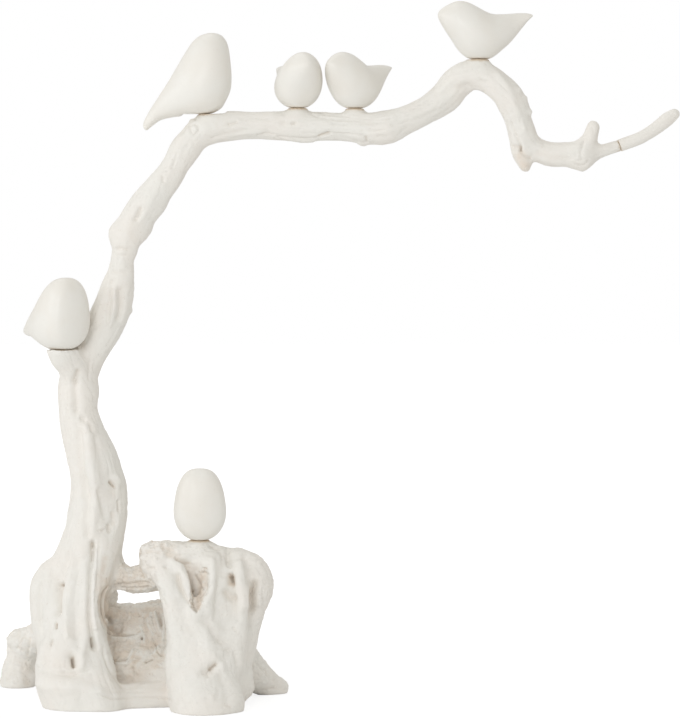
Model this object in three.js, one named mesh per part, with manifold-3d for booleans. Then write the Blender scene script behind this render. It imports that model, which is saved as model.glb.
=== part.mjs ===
// Figurine of six small birds on a gnarled driftwood branch, cast in off-white resin.
// Millimetres, +Z up, +X towards the tip of the branch, -Y towards the viewer.
// The origin is on the underside, below the middle of the overall box.
import * as THREE from 'three';
import { mergeVertices } from 'three/addons/utils/BufferGeometryUtils.js';
import { edgeTable, triTable } from 'three/addons/objects/MarchingCubes.js';
import { SimplifyModifier } from 'three/addons/modifiers/SimplifyModifier.js';
import Module from 'manifold-3d';

const wasm = await Module();
wasm.setup();

// Driving dimensions
const FOOTPRINT_CENTRE = { x: 0, y: 12 };
const SEAT_GAP = 0.3;
const SEAT_RADIUS = 5.2;
const SEAT_BOSS_DEPTH = 4;
const SEAT_CLEARANCE = 12;
const LIMB_BLEND = 6;
const CARVE_BLEND = 2.5;
const WOOD_ROUGHNESS = 0.8;
const BIRD_ROUGHNESS = 0.45;

// Sampling of the wood's surface
const CELL = 2.5;
const WOOD_BOX = { min: [-232.5, -72.5, -10], max: [195, 100, 427.5] };
const WOOD_TRIANGLES = 7200;
const STEPS_PER_SPAN = 4;
const OUTSIDE = 50;
const CLOSEST_TO_CORNER = 0.03;

const WOOD_COLOUR = 0xe9e5dd;
const BIRD_COLOUR = 0xefece6;

// A limb is a row of balls [x, y, z, radius] that the wood runs through.
const LIMBS = {
  trunk: [
    [-170, -6, 42, 19.5], [-167, -4, 68, 19.5], [-163.5, 0, 91, 19.5], [-160, 2, 107, 18.8],
    [-157, 2, 123, 18.5], [-156.3, 2, 140, 17.4], [-159, 2, 158, 16.4], [-164, 2, 173, 14.5],
    [-168.8, 2, 192, 12.6], [-169.4, 3, 209, 12.1], [-163.6, 5, 224, 11], [-156.2, 5, 238, 11.7],
    [-149, 5, 253, 12.6], [-143.5, 4, 269, 11.3], [-140.3, 2, 283, 8.6], [-138.7, 0, 296, 7.1],
    [-136, 0, 307.5, 9.2], [-122.9, 0, 327.5, 10.5], [-108, -1, 347, 9.1], [-98.4, -2, 363, 8.3],
  ],
  arm: [
    [-98.4, -2, 363, 8.3], [-88, -2, 374.2, 9.8], [-72, -1, 378.2, 9.6], [-48, 0, 379, 9],
    [-23, 1, 378, 9.9], [3, 0, 378, 8.8], [30, -1, 377, 10.8], [46, -1, 382.2, 9.2], [60, 1, 389.2, 9],
    [72, 3, 397.3, 10.1], [79, 2, 406, 10.2], [88, 0, 411.4, 9.6], [98, -2, 410.5, 9.2],
    [110.3, -3, 401.2, 9.5], [116.9, -2, 391, 9.6], [121.7, 0, 377, 8.1], [128, 1, 366.6, 7.3],
    [139, 1, 360.7, 7.8], [154, -1, 360, 8], [160.5, -2, 360, 7.6],
  ],
  elbow: [[-120.5, 0, 328, 8.3], [-127.3, 0, 321, 8.8], [-133.4, 0, 309, 8.7], [-135, 0, 300, 6.8]],
  collar: [[-140.4, 0, 308.5, 6.6], [-126.7, 0, 311, 5.4]],
  perch: [
    [-167, 0, 204, 11.6], [-169.2, -3, 214, 9.8], [-171.5, -6, 221, 9.7], [-175.5, -10, 228, 10],
    [-178, -13, 234, 9.9],
  ],
  spur: [[121.4, 0, 375, 6.9], [121.6, 0, 363, 6.4], [123.6, -1, 355.5, 5], [124.4, -1, 352.3, 3.6]],
  sprig: [[161, -2, 361, 6], [166, -2, 369, 5.2], [168.8, -2, 377.5, 4.3]],
  knuckle: [[159.5, -2, 357.3, 6.2], [161.6, -2, 354, 4.1]],
  twig: [[163, -1, 358.3, 5], [172, 0, 361.2, 4.5], [185, 1, 365.3, 3.9]],
  leftButtress: [
    [-172, 2, 108, 5], [-179.6, 2, 92, 7.4], [-187.2, 2, 78, 12.7], [-188.3, 4, 58, 12.3],
    [-186.6, 4, 40, 10.5], [-183, 2, 18, 10], [-178, 0, 2, 8],
  ],
  frontLeftFoot: [[-172, -8, 42, 19.5], [-173, -15, 24, 23.2], [-169.5, -20, 9, 23], [-166, -23, -2, 21]],
  leftToe: [[-157, -18, 28, 10], [-155, -27, 14, 13], [-151, -31, 2, 14.5]],
  alcoveJamb: [
    [-149, 2, 120, 9], [-152, -4, 101, 8.5], [-158, -14, 82, 6.5], [-160, -18, 62, 6.5],
    [-157, -18, 40, 8], [-153, -18, 20, 10],
  ],
  rightStrand: [
    [-156, 8, 174, 5], [-150, 8, 158, 6.5], [-145, 8, 139, 7.5], [-146, 8, 123, 8], [-149, 8, 103, 8.5],
    [-153, 14, 82, 9.5], [-157, 20, 62, 11.5], [-158, 24, 31, 14.5], [-154, 24, -2, 16],
  ],
  frontRidge: [[-161, -11, 180, 4], [-157, -14, 155, 4.5], [-152, -14, 135, 4.5], [-147, -13, 118, 4]],
  underFill: [[-165, 10, 8, 20], [-130, 14, 6, 24], [-95, 6, 8, 26]],
  backWall: [[-159, 28, 39.6, 22.5], [-137, 30, 39, 22.8], [-111, 28, 40.6, 24]],
  alcoveFloor: [[-150, 12, 21, 18.5], [-129, 12, 21, 19], [-110, 10, 21, 18]],
  frontLip: [[-153, -26, 3, 10], [-131, -18, 3, 12], [-107, -12, 3, 12]],
  lintel: [[-151, 8, 87.4, 10.4], [-136, 5, 80.4, 8.6], [-122, 2, 82.3, 9.9], [-114, 0, 85, 10]],
  stumpLeftHump: [[-121.3, -2, 98.3, 7.6], [-114, -2, 99, 8], [-106, -1, 96.5, 8.3]],
  stumpCrown: [[-102, -2, 94.5, 11.2], [-89, -2, 94, 12], [-78, -2, 92.5, 11.3], [-68, -2, 90.5, 9.3]],
  stumpRightHump: [
    [-63, -1, 91.5, 10.2], [-56, 0, 86.4, 12], [-52.5, 0, 77, 12.4], [-55.5, 0, 66, 11.1],
    [-59.2, 0, 50, 9.8], [-65, 0, 34, 9.6], [-62, -6, 12, 9],
  ],
  stumpCore: [[-89, 2, 77, 17], [-86, 2, 57, 22.5], [-83, -4, 35, 25], [-82, -10, 9, 23.5]],
  stumpRightCore: [[-68, 5, 86, 10], [-68, 5, 62, 13], [-68, 2, 40, 16]],
  leftColumn: [
    [-118, -6, 94, 8], [-111, -14, 84, 8], [-105, -22, 70, 8], [-99, -27, 44, 10.5],
    [-95, -28, 24, 15.5], [-89, -32, 6, 18],
  ],
  middleColumn: [
    [-80, -14, 91, 8], [-81, -20, 76, 6], [-85, -24, 62, 8.5], [-84, -26, 38, 14.5], [-81, -30, 12, 19.5],
  ],
  frontRightFoot: [[-89, -36, 13, 17.5], [-85, -42, 2, 19.5], [-76, -38, 4, 17.5]],
  rightRib: [[-65, -14, 87, 6], [-62, -18, 70, 5], [-65, -18, 50, 8], [-70, -22, 31, 11.5]],
  stumpWeb: [[-72, -8, 88, 8.5], [-72, -11, 74, 9], [-74, -14, 60, 10]],
  stumpStrap: [
    [-104, -13, 94, 3.5], [-100.5, -17, 89, 3.2], [-97.3, -21, 82.5, 3], [-95.3, -24.5, 75, 2.8],
    [-93, -28, 67.5, 3], [-90.5, -30.5, 60, 4],
  ],
  backRightFoot: [[-68.5, 16, 38, 10.8], [-58, 26, 19, 12.2], [-48, 36, 9, 10], [-39, 42, 3, 7.5]],
  backMass: [[-92, 22, 72, 17.5], [-97, 30, 44, 22.5], [-97, 36, 10, 24]],
  backLeftRoot: [[-170, 24, 65, 14.5], [-183, 42, 45, 13.8], [-202, 60, 34, 11], [-214.4, 70, 30.6, 9.1]],
  backLeftFoot: [[-210, 70, 25, 8], [-213.8, 73, 13, 11.7], [-215.8, 74, 3, 12.1]],
};

// A hollow is a row of balls that is taken out of the wood.
const HOLLOWS = {
  blockGroove: [[-181, -16, 84, 2.5], [-183, -17, 72, 2.5], [-181, -17, 60, 2]],
  jambGroove: [[-158, -16, 107, 2.5], [-159, -22, 90, 2.5], [-160, -26, 70, 2.5], [-158, -28, 43, 2.5]],
  blockHole: [[-169, -35, 36.3, 1.9], [-168.6, -35.5, 32.8, 2.3], [-168.3, -36, 29.3, 1.9]],
  stumpTeardrop: [
    [-86.8, -21.5, 85.5, 4.5], [-87, -24.8, 80, 5.1], [-89.2, -27.6, 73, 4.2], [-90.2, -31, 66, 2.4],
  ],
  stumpRightHollow: [[-54.5, -13, 78, 2], [-54, -13.5, 69, 2.6], [-53.5, -13.5, 61, 2]],
  stumpSlit: [[-85, -48, 26, 2], [-79, -50, 29, 3], [-75, -48, 34, 2]],
  trunkFlute: [[-155, -14, 176, 3], [-149, -17, 155, 4], [-144, -16, 137, 4], [-142, -13, 122, 3.5]],
  alcoveRecess: [[-147, 5, 54.5, 6], [-144, 7.5, 51.5, 6]],
  alcoveMouth: [[-145, -18, 75.5, 5.5], [-145.8, -18, 69, 8.8], [-146, -17, 61, 8.8], [-143.5, -14, 51, 7.5]],
  alcoveThroat: [[-143, -6, 73.5, 6], [-143.5, -6, 67, 8], [-143.5, -6, 60, 8.5], [-142, -4, 50, 8]],
  alcoveBack: [[-141, 6, 69.5, 5.5], [-141, 7, 64, 7], [-141, 8, 57, 7.5]],
  elbowNotch: [[-122, -14, 296.5, 7.5], [-122, 0, 295.9, 7.5], [-122, 14, 295.3, 7.5]],
};

// The last piece of the thin twig, beyond its seam
const TWIG_TIP = [
  [186, 1, 365.6, 3.9], [200, 1, 371, 4], [210, 2, 377.2, 4.1], [217.5, 3, 383, 4.5], [222, 3, 386.4, 3.6],
];
const TWIG_TIP_SIDES = 8;

// Silhouettes of the three bird moulds, seen from the side with the beak towards +X and the
// seat at the origin: [distance along X, top, bottom, half width]. The seat cuts off what is below zero.
const BIRD_MOULDS = {
  tailUp: {
    wideLow: 0.06,
    crown: 2,
    stations: [
      [27.2, 27.6, 27.6, 0.3], [26.4, 30, 25.4, 2.6], [24.6, 31.8, 22, 5], [21.4, 33.9, 17.2, 8],
      [17, 36, 11, 11.4], [12.8, 36.9, 5.1, 13.4], [7.5, 36, 0.8, 15], [2, 33.4, -0.6, 15.6],
      [-3.5, 30.6, -0.5, 15.2], [-8.5, 28.9, 1.2, 14], [-14.5, 28.8, 5.8, 11.8], [-20.5, 29.2, 11.2, 9],
      [-26, 29.6, 17.8, 7.2], [-30.5, 29.6, 23.4, 6.3], [-33, 29.2, 26, 5.5], [-33.9, 28.8, 26.9, 4.8],
    ],
  },
  upright: {
    wideLow: 0.18,
    crown: 2.8,
    stations: [
      [17.6, 24, 24, 0.3], [17.1, 31, 16, 4.6], [15.6, 38.5, 9, 9.6], [12.6, 44.2, 3.2, 14],
      [7.6, 47, 0.4, 16.4], [2, 47, -0.8, 17], [-3.5, 44.4, -0.7, 16.8], [-9, 39.2, 0.4, 15.7],
      [-15, 32.8, 3, 13.4], [-21, 27.2, 5.6, 10.7], [-27, 22, 7.7, 7.6], [-32, 17.2, 8.2, 5],
      [-35, 14.2, 9.6, 3], [-36.2, 12, 11.2, 0.6],
    ],
  },
};

// The tall mould leans along its own axis, from the tip of the tail to the crown of the head:
// [distance along the axis, belly side, back side, half width].
const TALL_MOULD = {
  wideLow: 0.1,
  crown: 2,
  tail: [-41.2, -10.6],
  lean: THREE.MathUtils.degToRad(50.7),
  flatFrom: -18,
  stations: [
    [0, -0.2, -0.6, 0.4], [0.6, 0.7, -2.2, 1.8], [2.4, 1.2, -3.8, 3.1], [6, 2, -5, 4.4],
    [11.3, 3.6, -6, 5.9], [17, 7.8, -6.7, 8], [23, 13.6, -7.3, 10.9], [29, 20.2, -8, 13.8],
    [35, 26, -8.7, 16.2], [42, 29.2, -9.8, 17.9], [49, 28.4, -10.9, 18.5], [56, 26.2, -11.9, 18.2],
    [63, 21.2, -12.6, 16.9], [69.5, 15, -11.6, 14.4], [75, 9.2, -8.2, 10.2], [78.2, 4.6, -4, 5.6],
    [79.4, 0.2, -0.2, 0.4],
  ],
};
const BIRD_SIDES = 14;

// Where each bird sits, its mould and the way its beak points, turned from +X about the vertical
const BIRDS = {
  bird_large: { mould: 'tall', seat: [-82.6, -1, 386.3], heading: 0, scale: 1 },
  bird_middle_left: { mould: 'tailUp', seat: [-24.3, 1, 390.2], heading: -73, scale: 0.975 },
  bird_middle_right: { mould: 'tailUp', seat: [12.9, 0, 390], heading: -129, scale: 0.985 },
  bird_crest: { mould: 'tailUp', seat: [94.2, -1, 421.9], heading: 192, scale: 1.025 },
  bird_perch: { mould: 'upright', seat: [-178.4, -13, 232.7], heading: -45, scale: 0.993 },
  bird_stump: { mould: 'upright', seat: [-88.6, -3, 107.5], heading: -88, scale: 1 },
};

// Runs a smooth curve through a row of balls and returns it as closely spaced balls.
function threadBalls(balls) {
  const dense = [];
  const last = balls.length - 1;
  for (let span = 0; span < last; span += 1) {
    const before = balls[Math.max(span - 1, 0)];
    const start = balls[span];
    const end = balls[span + 1];
    const after = balls[Math.min(span + 2, last)];
    for (let step = 0; step < STEPS_PER_SPAN; step += 1) {
      const t = step / STEPS_PER_SPAN;
      dense.push(start.map((value, axis) => 0.5 * (2 * value + (end[axis] - before[axis]) * t
        + (2 * before[axis] - 5 * value + 4 * end[axis] - after[axis]) * t * t
        + (3 * value - before[axis] - 3 * end[axis] + after[axis]) * t * t * t)));
    }
  }
  dense.push(balls[last]);
  return dense;
}

// A box of samples of the distance to the surface, negative inside the wood
function makeGrid(box, cell) {
  const counts = box.min.map((low, axis) => Math.round((box.max[axis] - low) / cell) + 1);
  const values = new Float32Array(counts[0] * counts[1] * counts[2]).fill(OUTSIDE);
  return { origin: box.min, cell, counts, values };
}

function gridRange(grid, axis, low, high) {
  const first = Math.ceil((low - grid.origin[axis]) / grid.cell);
  const last = Math.floor((high - grid.origin[axis]) / grid.cell);
  return [Math.max(first, 0), Math.min(last, grid.counts[axis] - 1)];
}

// Distance from each sample near one limb to that limb, as a map from sample number to distance
function limbDistances(grid, balls, reach) {
  const near = new Map();
  const dense = threadBalls(balls);
  for (let i = 0; i + 1 < dense.length; i += 1) {
    const [a, b] = [dense[i], dense[i + 1]];
    const edge = [b[0] - a[0], b[1] - a[1], b[2] - a[2]];
    const edgeSquared = edge[0] ** 2 + edge[1] ** 2 + edge[2] ** 2;
    const margin = Math.max(a[3], b[3]) + reach;
    const ranges = [0, 1, 2].map((axis) => gridRange(
      grid, axis, Math.min(a[axis], b[axis]) - margin, Math.max(a[axis], b[axis]) + margin));
    for (let iz = ranges[2][0]; iz <= ranges[2][1]; iz += 1) {
      for (let iy = ranges[1][0]; iy <= ranges[1][1]; iy += 1) {
        for (let ix = ranges[0][0]; ix <= ranges[0][1]; ix += 1) {
          const x = grid.origin[0] + ix * grid.cell - a[0];
          const y = grid.origin[1] + iy * grid.cell - a[1];
          const z = grid.origin[2] + iz * grid.cell - a[2];
          const along = (x * edge[0] + y * edge[1] + z * edge[2]) / edgeSquared;
          const t = Math.min(Math.max(along, 0), 1);
          const distance = Math.hypot(x - t * edge[0], y - t * edge[1], z - t * edge[2])
            - (a[3] + t * (b[3] - a[3]));
          const sample = (iz * grid.counts[1] + iy) * grid.counts[0] + ix;
          if (distance < (near.get(sample) ?? OUTSIDE)) near.set(sample, distance);
        }
      }
    }
  }
  return near;
}

// Marks the lowest layer of samples as outside, so that the feet end in closed caps below the ground.
function closeBottom(grid) {
  grid.values.fill(grid.cell, 0, grid.counts[0] * grid.counts[1]);
}

function smoothMinimum(a, b, blend) {
  const overlap = Math.max(blend - Math.abs(a - b), 0) / blend;
  return Math.min(a, b) - (overlap * overlap * blend) / 4;
}

function addLimb(grid, balls) {
  for (const [sample, distance] of limbDistances(grid, balls, LIMB_BLEND + 2 * grid.cell)) {
    grid.values[sample] = smoothMinimum(grid.values[sample], distance, LIMB_BLEND);
  }
}

function carveHollow(grid, balls) {
  for (const [sample, distance] of limbDistances(grid, balls, CARVE_BLEND + 2 * grid.cell)) {
    grid.values[sample] = -smoothMinimum(-grid.values[sample], distance, CARVE_BLEND);
  }
}

// Corner offsets and edge ends of one cell, in the order of the marching cubes tables
const CORNERS = [[0, 0, 0], [1, 0, 0], [1, 1, 0], [0, 1, 0], [0, 0, 1], [1, 0, 1], [1, 1, 1], [0, 1, 1]];
const EDGES = [
  [0, 1], [1, 2], [2, 3], [3, 0], [4, 5], [5, 6], [6, 7], [7, 4], [0, 4], [1, 5], [2, 6], [3, 7],
];

// Turns the samples into a closed triangle mesh whose vertices are shared.
function polygonise(grid) {
  const [nx, ny, nz] = grid.counts;
  const strides = [1, nx, nx * ny];
  const offsets = CORNERS.map((corner) => corner.reduce((sum, c, axis) => sum + c * strides[axis], 0));
  const positions = [];
  const index = [];
  const vertexOfEdge = new Map();
  const cornerPoint = (sample) => [
    grid.origin[0] + (sample % nx) * grid.cell,
    grid.origin[1] + (Math.floor(sample / nx) % ny) * grid.cell,
    grid.origin[2] + Math.floor(sample / (nx * ny)) * grid.cell,
  ];
  const edgeVertex = (base, edge) => {
    const ends = EDGES[edge].map((corner) => base + offsets[corner]).sort((a, b) => a - b);
    const key = ends[0] * grid.values.length + ends[1];
    if (!vertexOfEdge.has(key)) {
      const [v0, v1] = ends.map((end) => grid.values[end]);
      const t = Math.min(Math.max(v0 / (v0 - v1), CLOSEST_TO_CORNER), 1 - CLOSEST_TO_CORNER);
      const [p0, p1] = ends.map(cornerPoint);
      vertexOfEdge.set(key, positions.length / 3);
      positions.push(...p0.map((p, axis) => p + t * (p1[axis] - p)));
    }
    return vertexOfEdge.get(key);
  };
  for (let iz = 0; iz < nz - 1; iz += 1) {
    for (let iy = 0; iy < ny - 1; iy += 1) {
      for (let ix = 0; ix < nx - 1; ix += 1) {
        const base = iz * strides[2] + iy * strides[1] + ix;
        let inside = 0;
        offsets.forEach((offset, corner) => {
          if (grid.values[base + offset] < 0) inside |= 1 << corner;
        });
        if (edgeTable[inside] === 0) continue;
        for (let entry = inside * 16; triTable[entry] !== -1; entry += 3) {
          const corners = [0, 1, 2].map((k) => edgeVertex(base, triTable[entry + k]));
          index.push(corners[0], corners[2], corners[1]);
        }
      }
    }
  }
  const geometry = new THREE.BufferGeometry();
  geometry.setAttribute('position', new THREE.Float32BufferAttribute(positions, 3));
  geometry.setIndex(index);
  return geometry;
}

function toManifold(geometry) {
  const bare = geometry.clone();
  bare.deleteAttribute('normal');
  bare.deleteAttribute('uv');
  const merged = mergeVertices(bare, 1e-4);
  const mesh = new wasm.Mesh({
    numProp: 3,
    vertProperties: new Float32Array(merged.attributes.position.array),
    triVerts: new Uint32Array(merged.index.array),
  });
  return new wasm.Manifold(mesh);
}

function toGeometry(solid) {
  const mesh = solid.getMesh();
  const geometry = new THREE.BufferGeometry();
  geometry.setAttribute('position', new THREE.Float32BufferAttribute(mesh.vertProperties, 3));
  geometry.setIndex(Array.from(mesh.triVerts));
  geometry.computeVertexNormals();
  return geometry;
}

// A block under the floor plane, wide enough to cut the feet off flat
function groundBlock() {
  const thickness = 60;
  const block = new THREE.BoxGeometry(600, 400, thickness);
  block.translate(0, 0, -thickness / 2);
  return toManifold(block);
}

// A short upright drum that clears the wood above a bird's seat
function seatCutter(seat) {
  const drum = new THREE.CylinderGeometry(SEAT_CLEARANCE, SEAT_CLEARANCE, SEAT_CLEARANCE, 24);
  drum.rotateX(Math.PI / 2);
  drum.translate(seat[0], seat[1], seat[2] + SEAT_CLEARANCE / 2);
  return toManifold(drum);
}

// The twig tip's balls, and the directions along and across it at each of them
const twigTipBalls = threadBalls(TWIG_TIP);
const twigTipPath = new THREE.CatmullRomCurve3(twigTipBalls.map(([x, y, z]) => new THREE.Vector3(x, y, z)));
const twigTipFrames = twigTipPath.computeFrenetFrames(twigTipBalls.length - 1, false);

// A block beyond the seam, which ends the twig in a flat face a gap short of its last piece
function seamCutter() {
  const side = 24;
  const block = new THREE.BoxGeometry(side, side, side);
  const along = twigTipFrames.tangents[0];
  block.applyQuaternion(new THREE.Quaternion().setFromUnitVectors(new THREE.Vector3(0, 0, 1), along));
  const centre = twigTipPath.getPoint(0).addScaledVector(along, side / 2 - SEAT_GAP);
  block.translate(centre.x, centre.y, centre.z);
  return toManifold(block);
}

async function makeWood() {
  const grid = makeGrid(WOOD_BOX, CELL);
  for (const balls of Object.values(LIMBS)) addLimb(grid, balls);
  for (const { seat } of Object.values(BIRDS)) {
    const [x, y, z] = seat;
    addLimb(grid, [[x, y, z - SEAT_BOSS_DEPTH, SEAT_RADIUS], [x, y, z - 1, SEAT_RADIUS]]);
  }
  for (const balls of Object.values(HOLLOWS)) carveHollow(grid, balls);
  closeBottom(grid);
  const fine = polygonise(grid);
  const verticesToDrop = fine.attributes.position.count - WOOD_TRIANGLES / 2;
  const coarse = await new SimplifyModifier().modify(fine, verticesToDrop);
  let wood = toManifold(coarse).subtract(groundBlock()).subtract(seamCutter());
  for (const { seat } of Object.values(BIRDS)) wood = wood.subtract(seatCutter(seat));
  return toGeometry(wood);
}

// Closes a row of rings, each a list of points, into one skin with a point at either end.
function skinRings(rings) {
  const sides = rings[0].length;
  const centre = (ring) => ring.reduce((sum, p) => sum.add(p), new THREE.Vector3()).divideScalar(sides);
  const points = [centre(rings[0]), ...rings.flat(), centre(rings[rings.length - 1])];
  const index = [];
  const at = (ring, side) => 1 + ring * sides + (side % sides);
  for (let side = 0; side < sides; side += 1) {
    index.push(0, at(0, side + 1), at(0, side));
    for (let ring = 0; ring + 1 < rings.length; ring += 1) {
      index.push(at(ring, side), at(ring, side + 1), at(ring + 1, side));
      index.push(at(ring, side + 1), at(ring + 1, side + 1), at(ring + 1, side));
    }
    index.push(points.length - 1, at(rings.length - 1, side), at(rings.length - 1, side + 1));
  }
  const geometry = new THREE.BufferGeometry();
  geometry.setAttribute('position', new THREE.Float32BufferAttribute(points.flatMap((p) => p.toArray()), 3));
  geometry.setIndex(index);
  geometry.computeVertexNormals();
  return geometry;
}

// One ring of a bird's body: an oval that is widest a little below its middle,
// and whose upper half is squarer where crown is above 2
function bodyRing(mould, top, bottom, halfWidth, place) {
  const ring = [];
  for (let side = 0; side < BIRD_SIDES; side += 1) {
    const angle = (2 * Math.PI * side) / BIRD_SIDES;
    const [cos, sin] = [Math.cos(angle), Math.sin(angle)];
    const power = cos > 0 ? 2 / mould.crown : 1;
    const rise = Math.sign(cos) * Math.abs(cos) ** power;
    const spread = Math.sign(sin) * Math.abs(sin) ** power;
    const up = (top + bottom) / 2 + ((top - bottom) / 2) * rise;
    ring.push(place(up, halfWidth * spread * (1 - mould.wideLow * rise)));
  }
  return ring;
}

function makeLevelBird(mould) {
  const rings = mould.stations.map(([x, top, bottom, halfWidth]) => bodyRing(
    mould, top, bottom, halfWidth, (up, across) => new THREE.Vector3(x, across, Math.max(up, 0))));
  return skinRings(rings);
}

function makeTallBird(mould) {
  const along = new THREE.Vector3(Math.cos(mould.lean), 0, Math.sin(mould.lean));
  const back = new THREE.Vector3(-Math.sin(mould.lean), 0, Math.cos(mould.lean));
  const rings = mould.stations.map(([distance, bellySide, backSide, halfWidth]) => bodyRing(
    mould, -backSide, -bellySide, halfWidth, (out, across) => {
      const point = new THREE.Vector3(mould.tail[0], across, mould.tail[1]);
      point.addScaledVector(along, distance).addScaledVector(back, out);
      if (point.x > mould.flatFrom) point.z = Math.max(point.z, 0);
      return point;
    }));
  return skinRings(rings.reverse());
}

// The twig's last piece: a round rod through its balls, with a flat face at the seam
function makeTwigTip() {
  const rings = twigTipBalls.map(([x, y, z, radius], i) => {
    const ring = [];
    for (let side = 0; side < TWIG_TIP_SIDES; side += 1) {
      const angle = (2 * Math.PI * side) / TWIG_TIP_SIDES;
      const point = new THREE.Vector3(x, y, z);
      point.addScaledVector(twigTipFrames.normals[i], radius * Math.cos(angle));
      point.addScaledVector(twigTipFrames.binormals[i], radius * Math.sin(angle));
      ring.push(point);
    }
    return ring;
  });
  return skinRings(rings);
}

function makeBird({ mould, scale }) {
  const geometry = mould === 'tall' ? makeTallBird(TALL_MOULD) : makeLevelBird(BIRD_MOULDS[mould]);
  return geometry.scale(scale, scale, scale);
}

function resin(colour, roughness) {
  return new THREE.MeshStandardMaterial({ color: colour, roughness, metalness: 0 });
}

const figurine = new THREE.Group();
figurine.position.set(-FOOTPRINT_CENTRE.x, -FOOTPRINT_CENTRE.y, 0);

const branch = new THREE.Mesh(await makeWood(), resin(WOOD_COLOUR, WOOD_ROUGHNESS));
branch.name = 'branch';
figurine.add(branch);

const twigTip = new THREE.Mesh(makeTwigTip(), resin(WOOD_COLOUR, WOOD_ROUGHNESS));
twigTip.name = 'twig_tip';
figurine.add(twigTip);

for (const [name, bird] of Object.entries(BIRDS)) {
  const mesh = new THREE.Mesh(makeBird(bird), resin(BIRD_COLOUR, BIRD_ROUGHNESS));
  mesh.name = name;
  mesh.position.set(bird.seat[0], bird.seat[1], bird.seat[2] + SEAT_GAP);
  mesh.rotation.z = THREE.MathUtils.degToRad(bird.heading);
  figurine.add(mesh);
}

export default figurine;
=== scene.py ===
"""Looks of a figurine: smooth little birds on a gnarled driftwood branch, all cast in off-white resin."""
import itertools
import math

import bpy
import numpy as np
from mathutils import Euler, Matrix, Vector, kdtree


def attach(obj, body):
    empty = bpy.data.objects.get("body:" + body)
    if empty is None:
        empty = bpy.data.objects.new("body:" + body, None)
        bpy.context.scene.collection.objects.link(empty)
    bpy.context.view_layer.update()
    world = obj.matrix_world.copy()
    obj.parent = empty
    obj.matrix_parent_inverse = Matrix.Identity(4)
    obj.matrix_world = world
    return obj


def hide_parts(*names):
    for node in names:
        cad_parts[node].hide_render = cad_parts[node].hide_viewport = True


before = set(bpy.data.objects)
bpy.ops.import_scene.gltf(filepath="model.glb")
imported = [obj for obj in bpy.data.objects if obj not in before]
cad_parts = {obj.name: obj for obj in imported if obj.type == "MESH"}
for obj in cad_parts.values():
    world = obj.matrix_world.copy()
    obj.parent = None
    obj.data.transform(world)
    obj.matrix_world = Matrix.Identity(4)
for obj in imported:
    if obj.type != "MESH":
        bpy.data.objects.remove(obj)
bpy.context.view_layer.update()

# The shapes below are in millimetres, in the frame of the lists, whose origin lies 12 mm in front of the row
# frame's. Lights and floor are in metres, in the row frame.
MM = 0.001
LIST_TO_ROW = np.array([0.0, -12.0, 0.0])

# The photograph and the place it was taken from: size and focal length in pixels, downward tilt in degrees
PHOTO_WIDTH, PHOTO_HEIGHT, FOCAL_PIXELS = 680, 718, 3359.0
CAMERA_PLACE = (3.3, -2200.0, 321.0)
CAMERA_TILT = 2.47

# A line of sight is followed between two depths, in steps, and still counts if it misses the wood by a little
SIGHT_START, SIGHT_END, SIGHT_STEP, SIGHT_MISS = -76.0, 80.0, 0.5, 2.5

# Sampling of the wood: cells of the branch, of the twig's end and of the coarse copy that tells how deep in a
# hollow a point lies, the value of a sample far from all wood, and the curve steps between two balls
CELL, TIP_CELL, COARSE_CELL = 0.65, 0.45, 3.0
OUTSIDE = 50.0
STEPS_PER_SPAN = 4
NORMAL_STEP, TIP_NORMAL_STEP = 1.2, 0.8
RECESS_HEIGHTS = (2.0, 5.0, 9.0)
WOOD_BOX = ((-232.0, -72.0, -3.0), (193.0, 99.0, 426.0))
TIP_BOX = ((179.0, -8.0, 355.0), (232.0, 12.0, 397.0))

# Widths over which limbs blend and hollows' edges are rounded, and how far beyond a limb samples feel it
LIMB_BLEND, CARVE_BLEND, REACH = 6.0, 1.6, 12.0

# A bird's seat: radius and depth of the boss below it, how far the boss stops short of it, and radius and
# height of the drum of air above it
SEAT_RADIUS, SEAT_BOSS_DEPTH, SEAT_BOSS_TOP, SEAT_CLEARANCE = 5.2, 4.0, 1.0, 12.0

# Where a seat keeps the wood plain and stains it: fading out between these radii, and between these heights
# above or below it. Relief also fades in above the ground.
SEAT_EDGE, SEAT_PLAIN, SEAT_STAIN = (6.0, 9.0), (0.8, 2.5), (0.4, 1.8)
GROUND_PLAIN = (0.5, 4)

# The thin twig's seam: how far the wood ends short of it on either side, and its stain, which fades out along
# the twig and, so as to stay on the twig, around it
SEAM_GAP, SEAM_STAIN, SEAM_ALONG, SEAM_AROUND = 0.1, 0.8, (0.2, 0.9), (6, 8)

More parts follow.
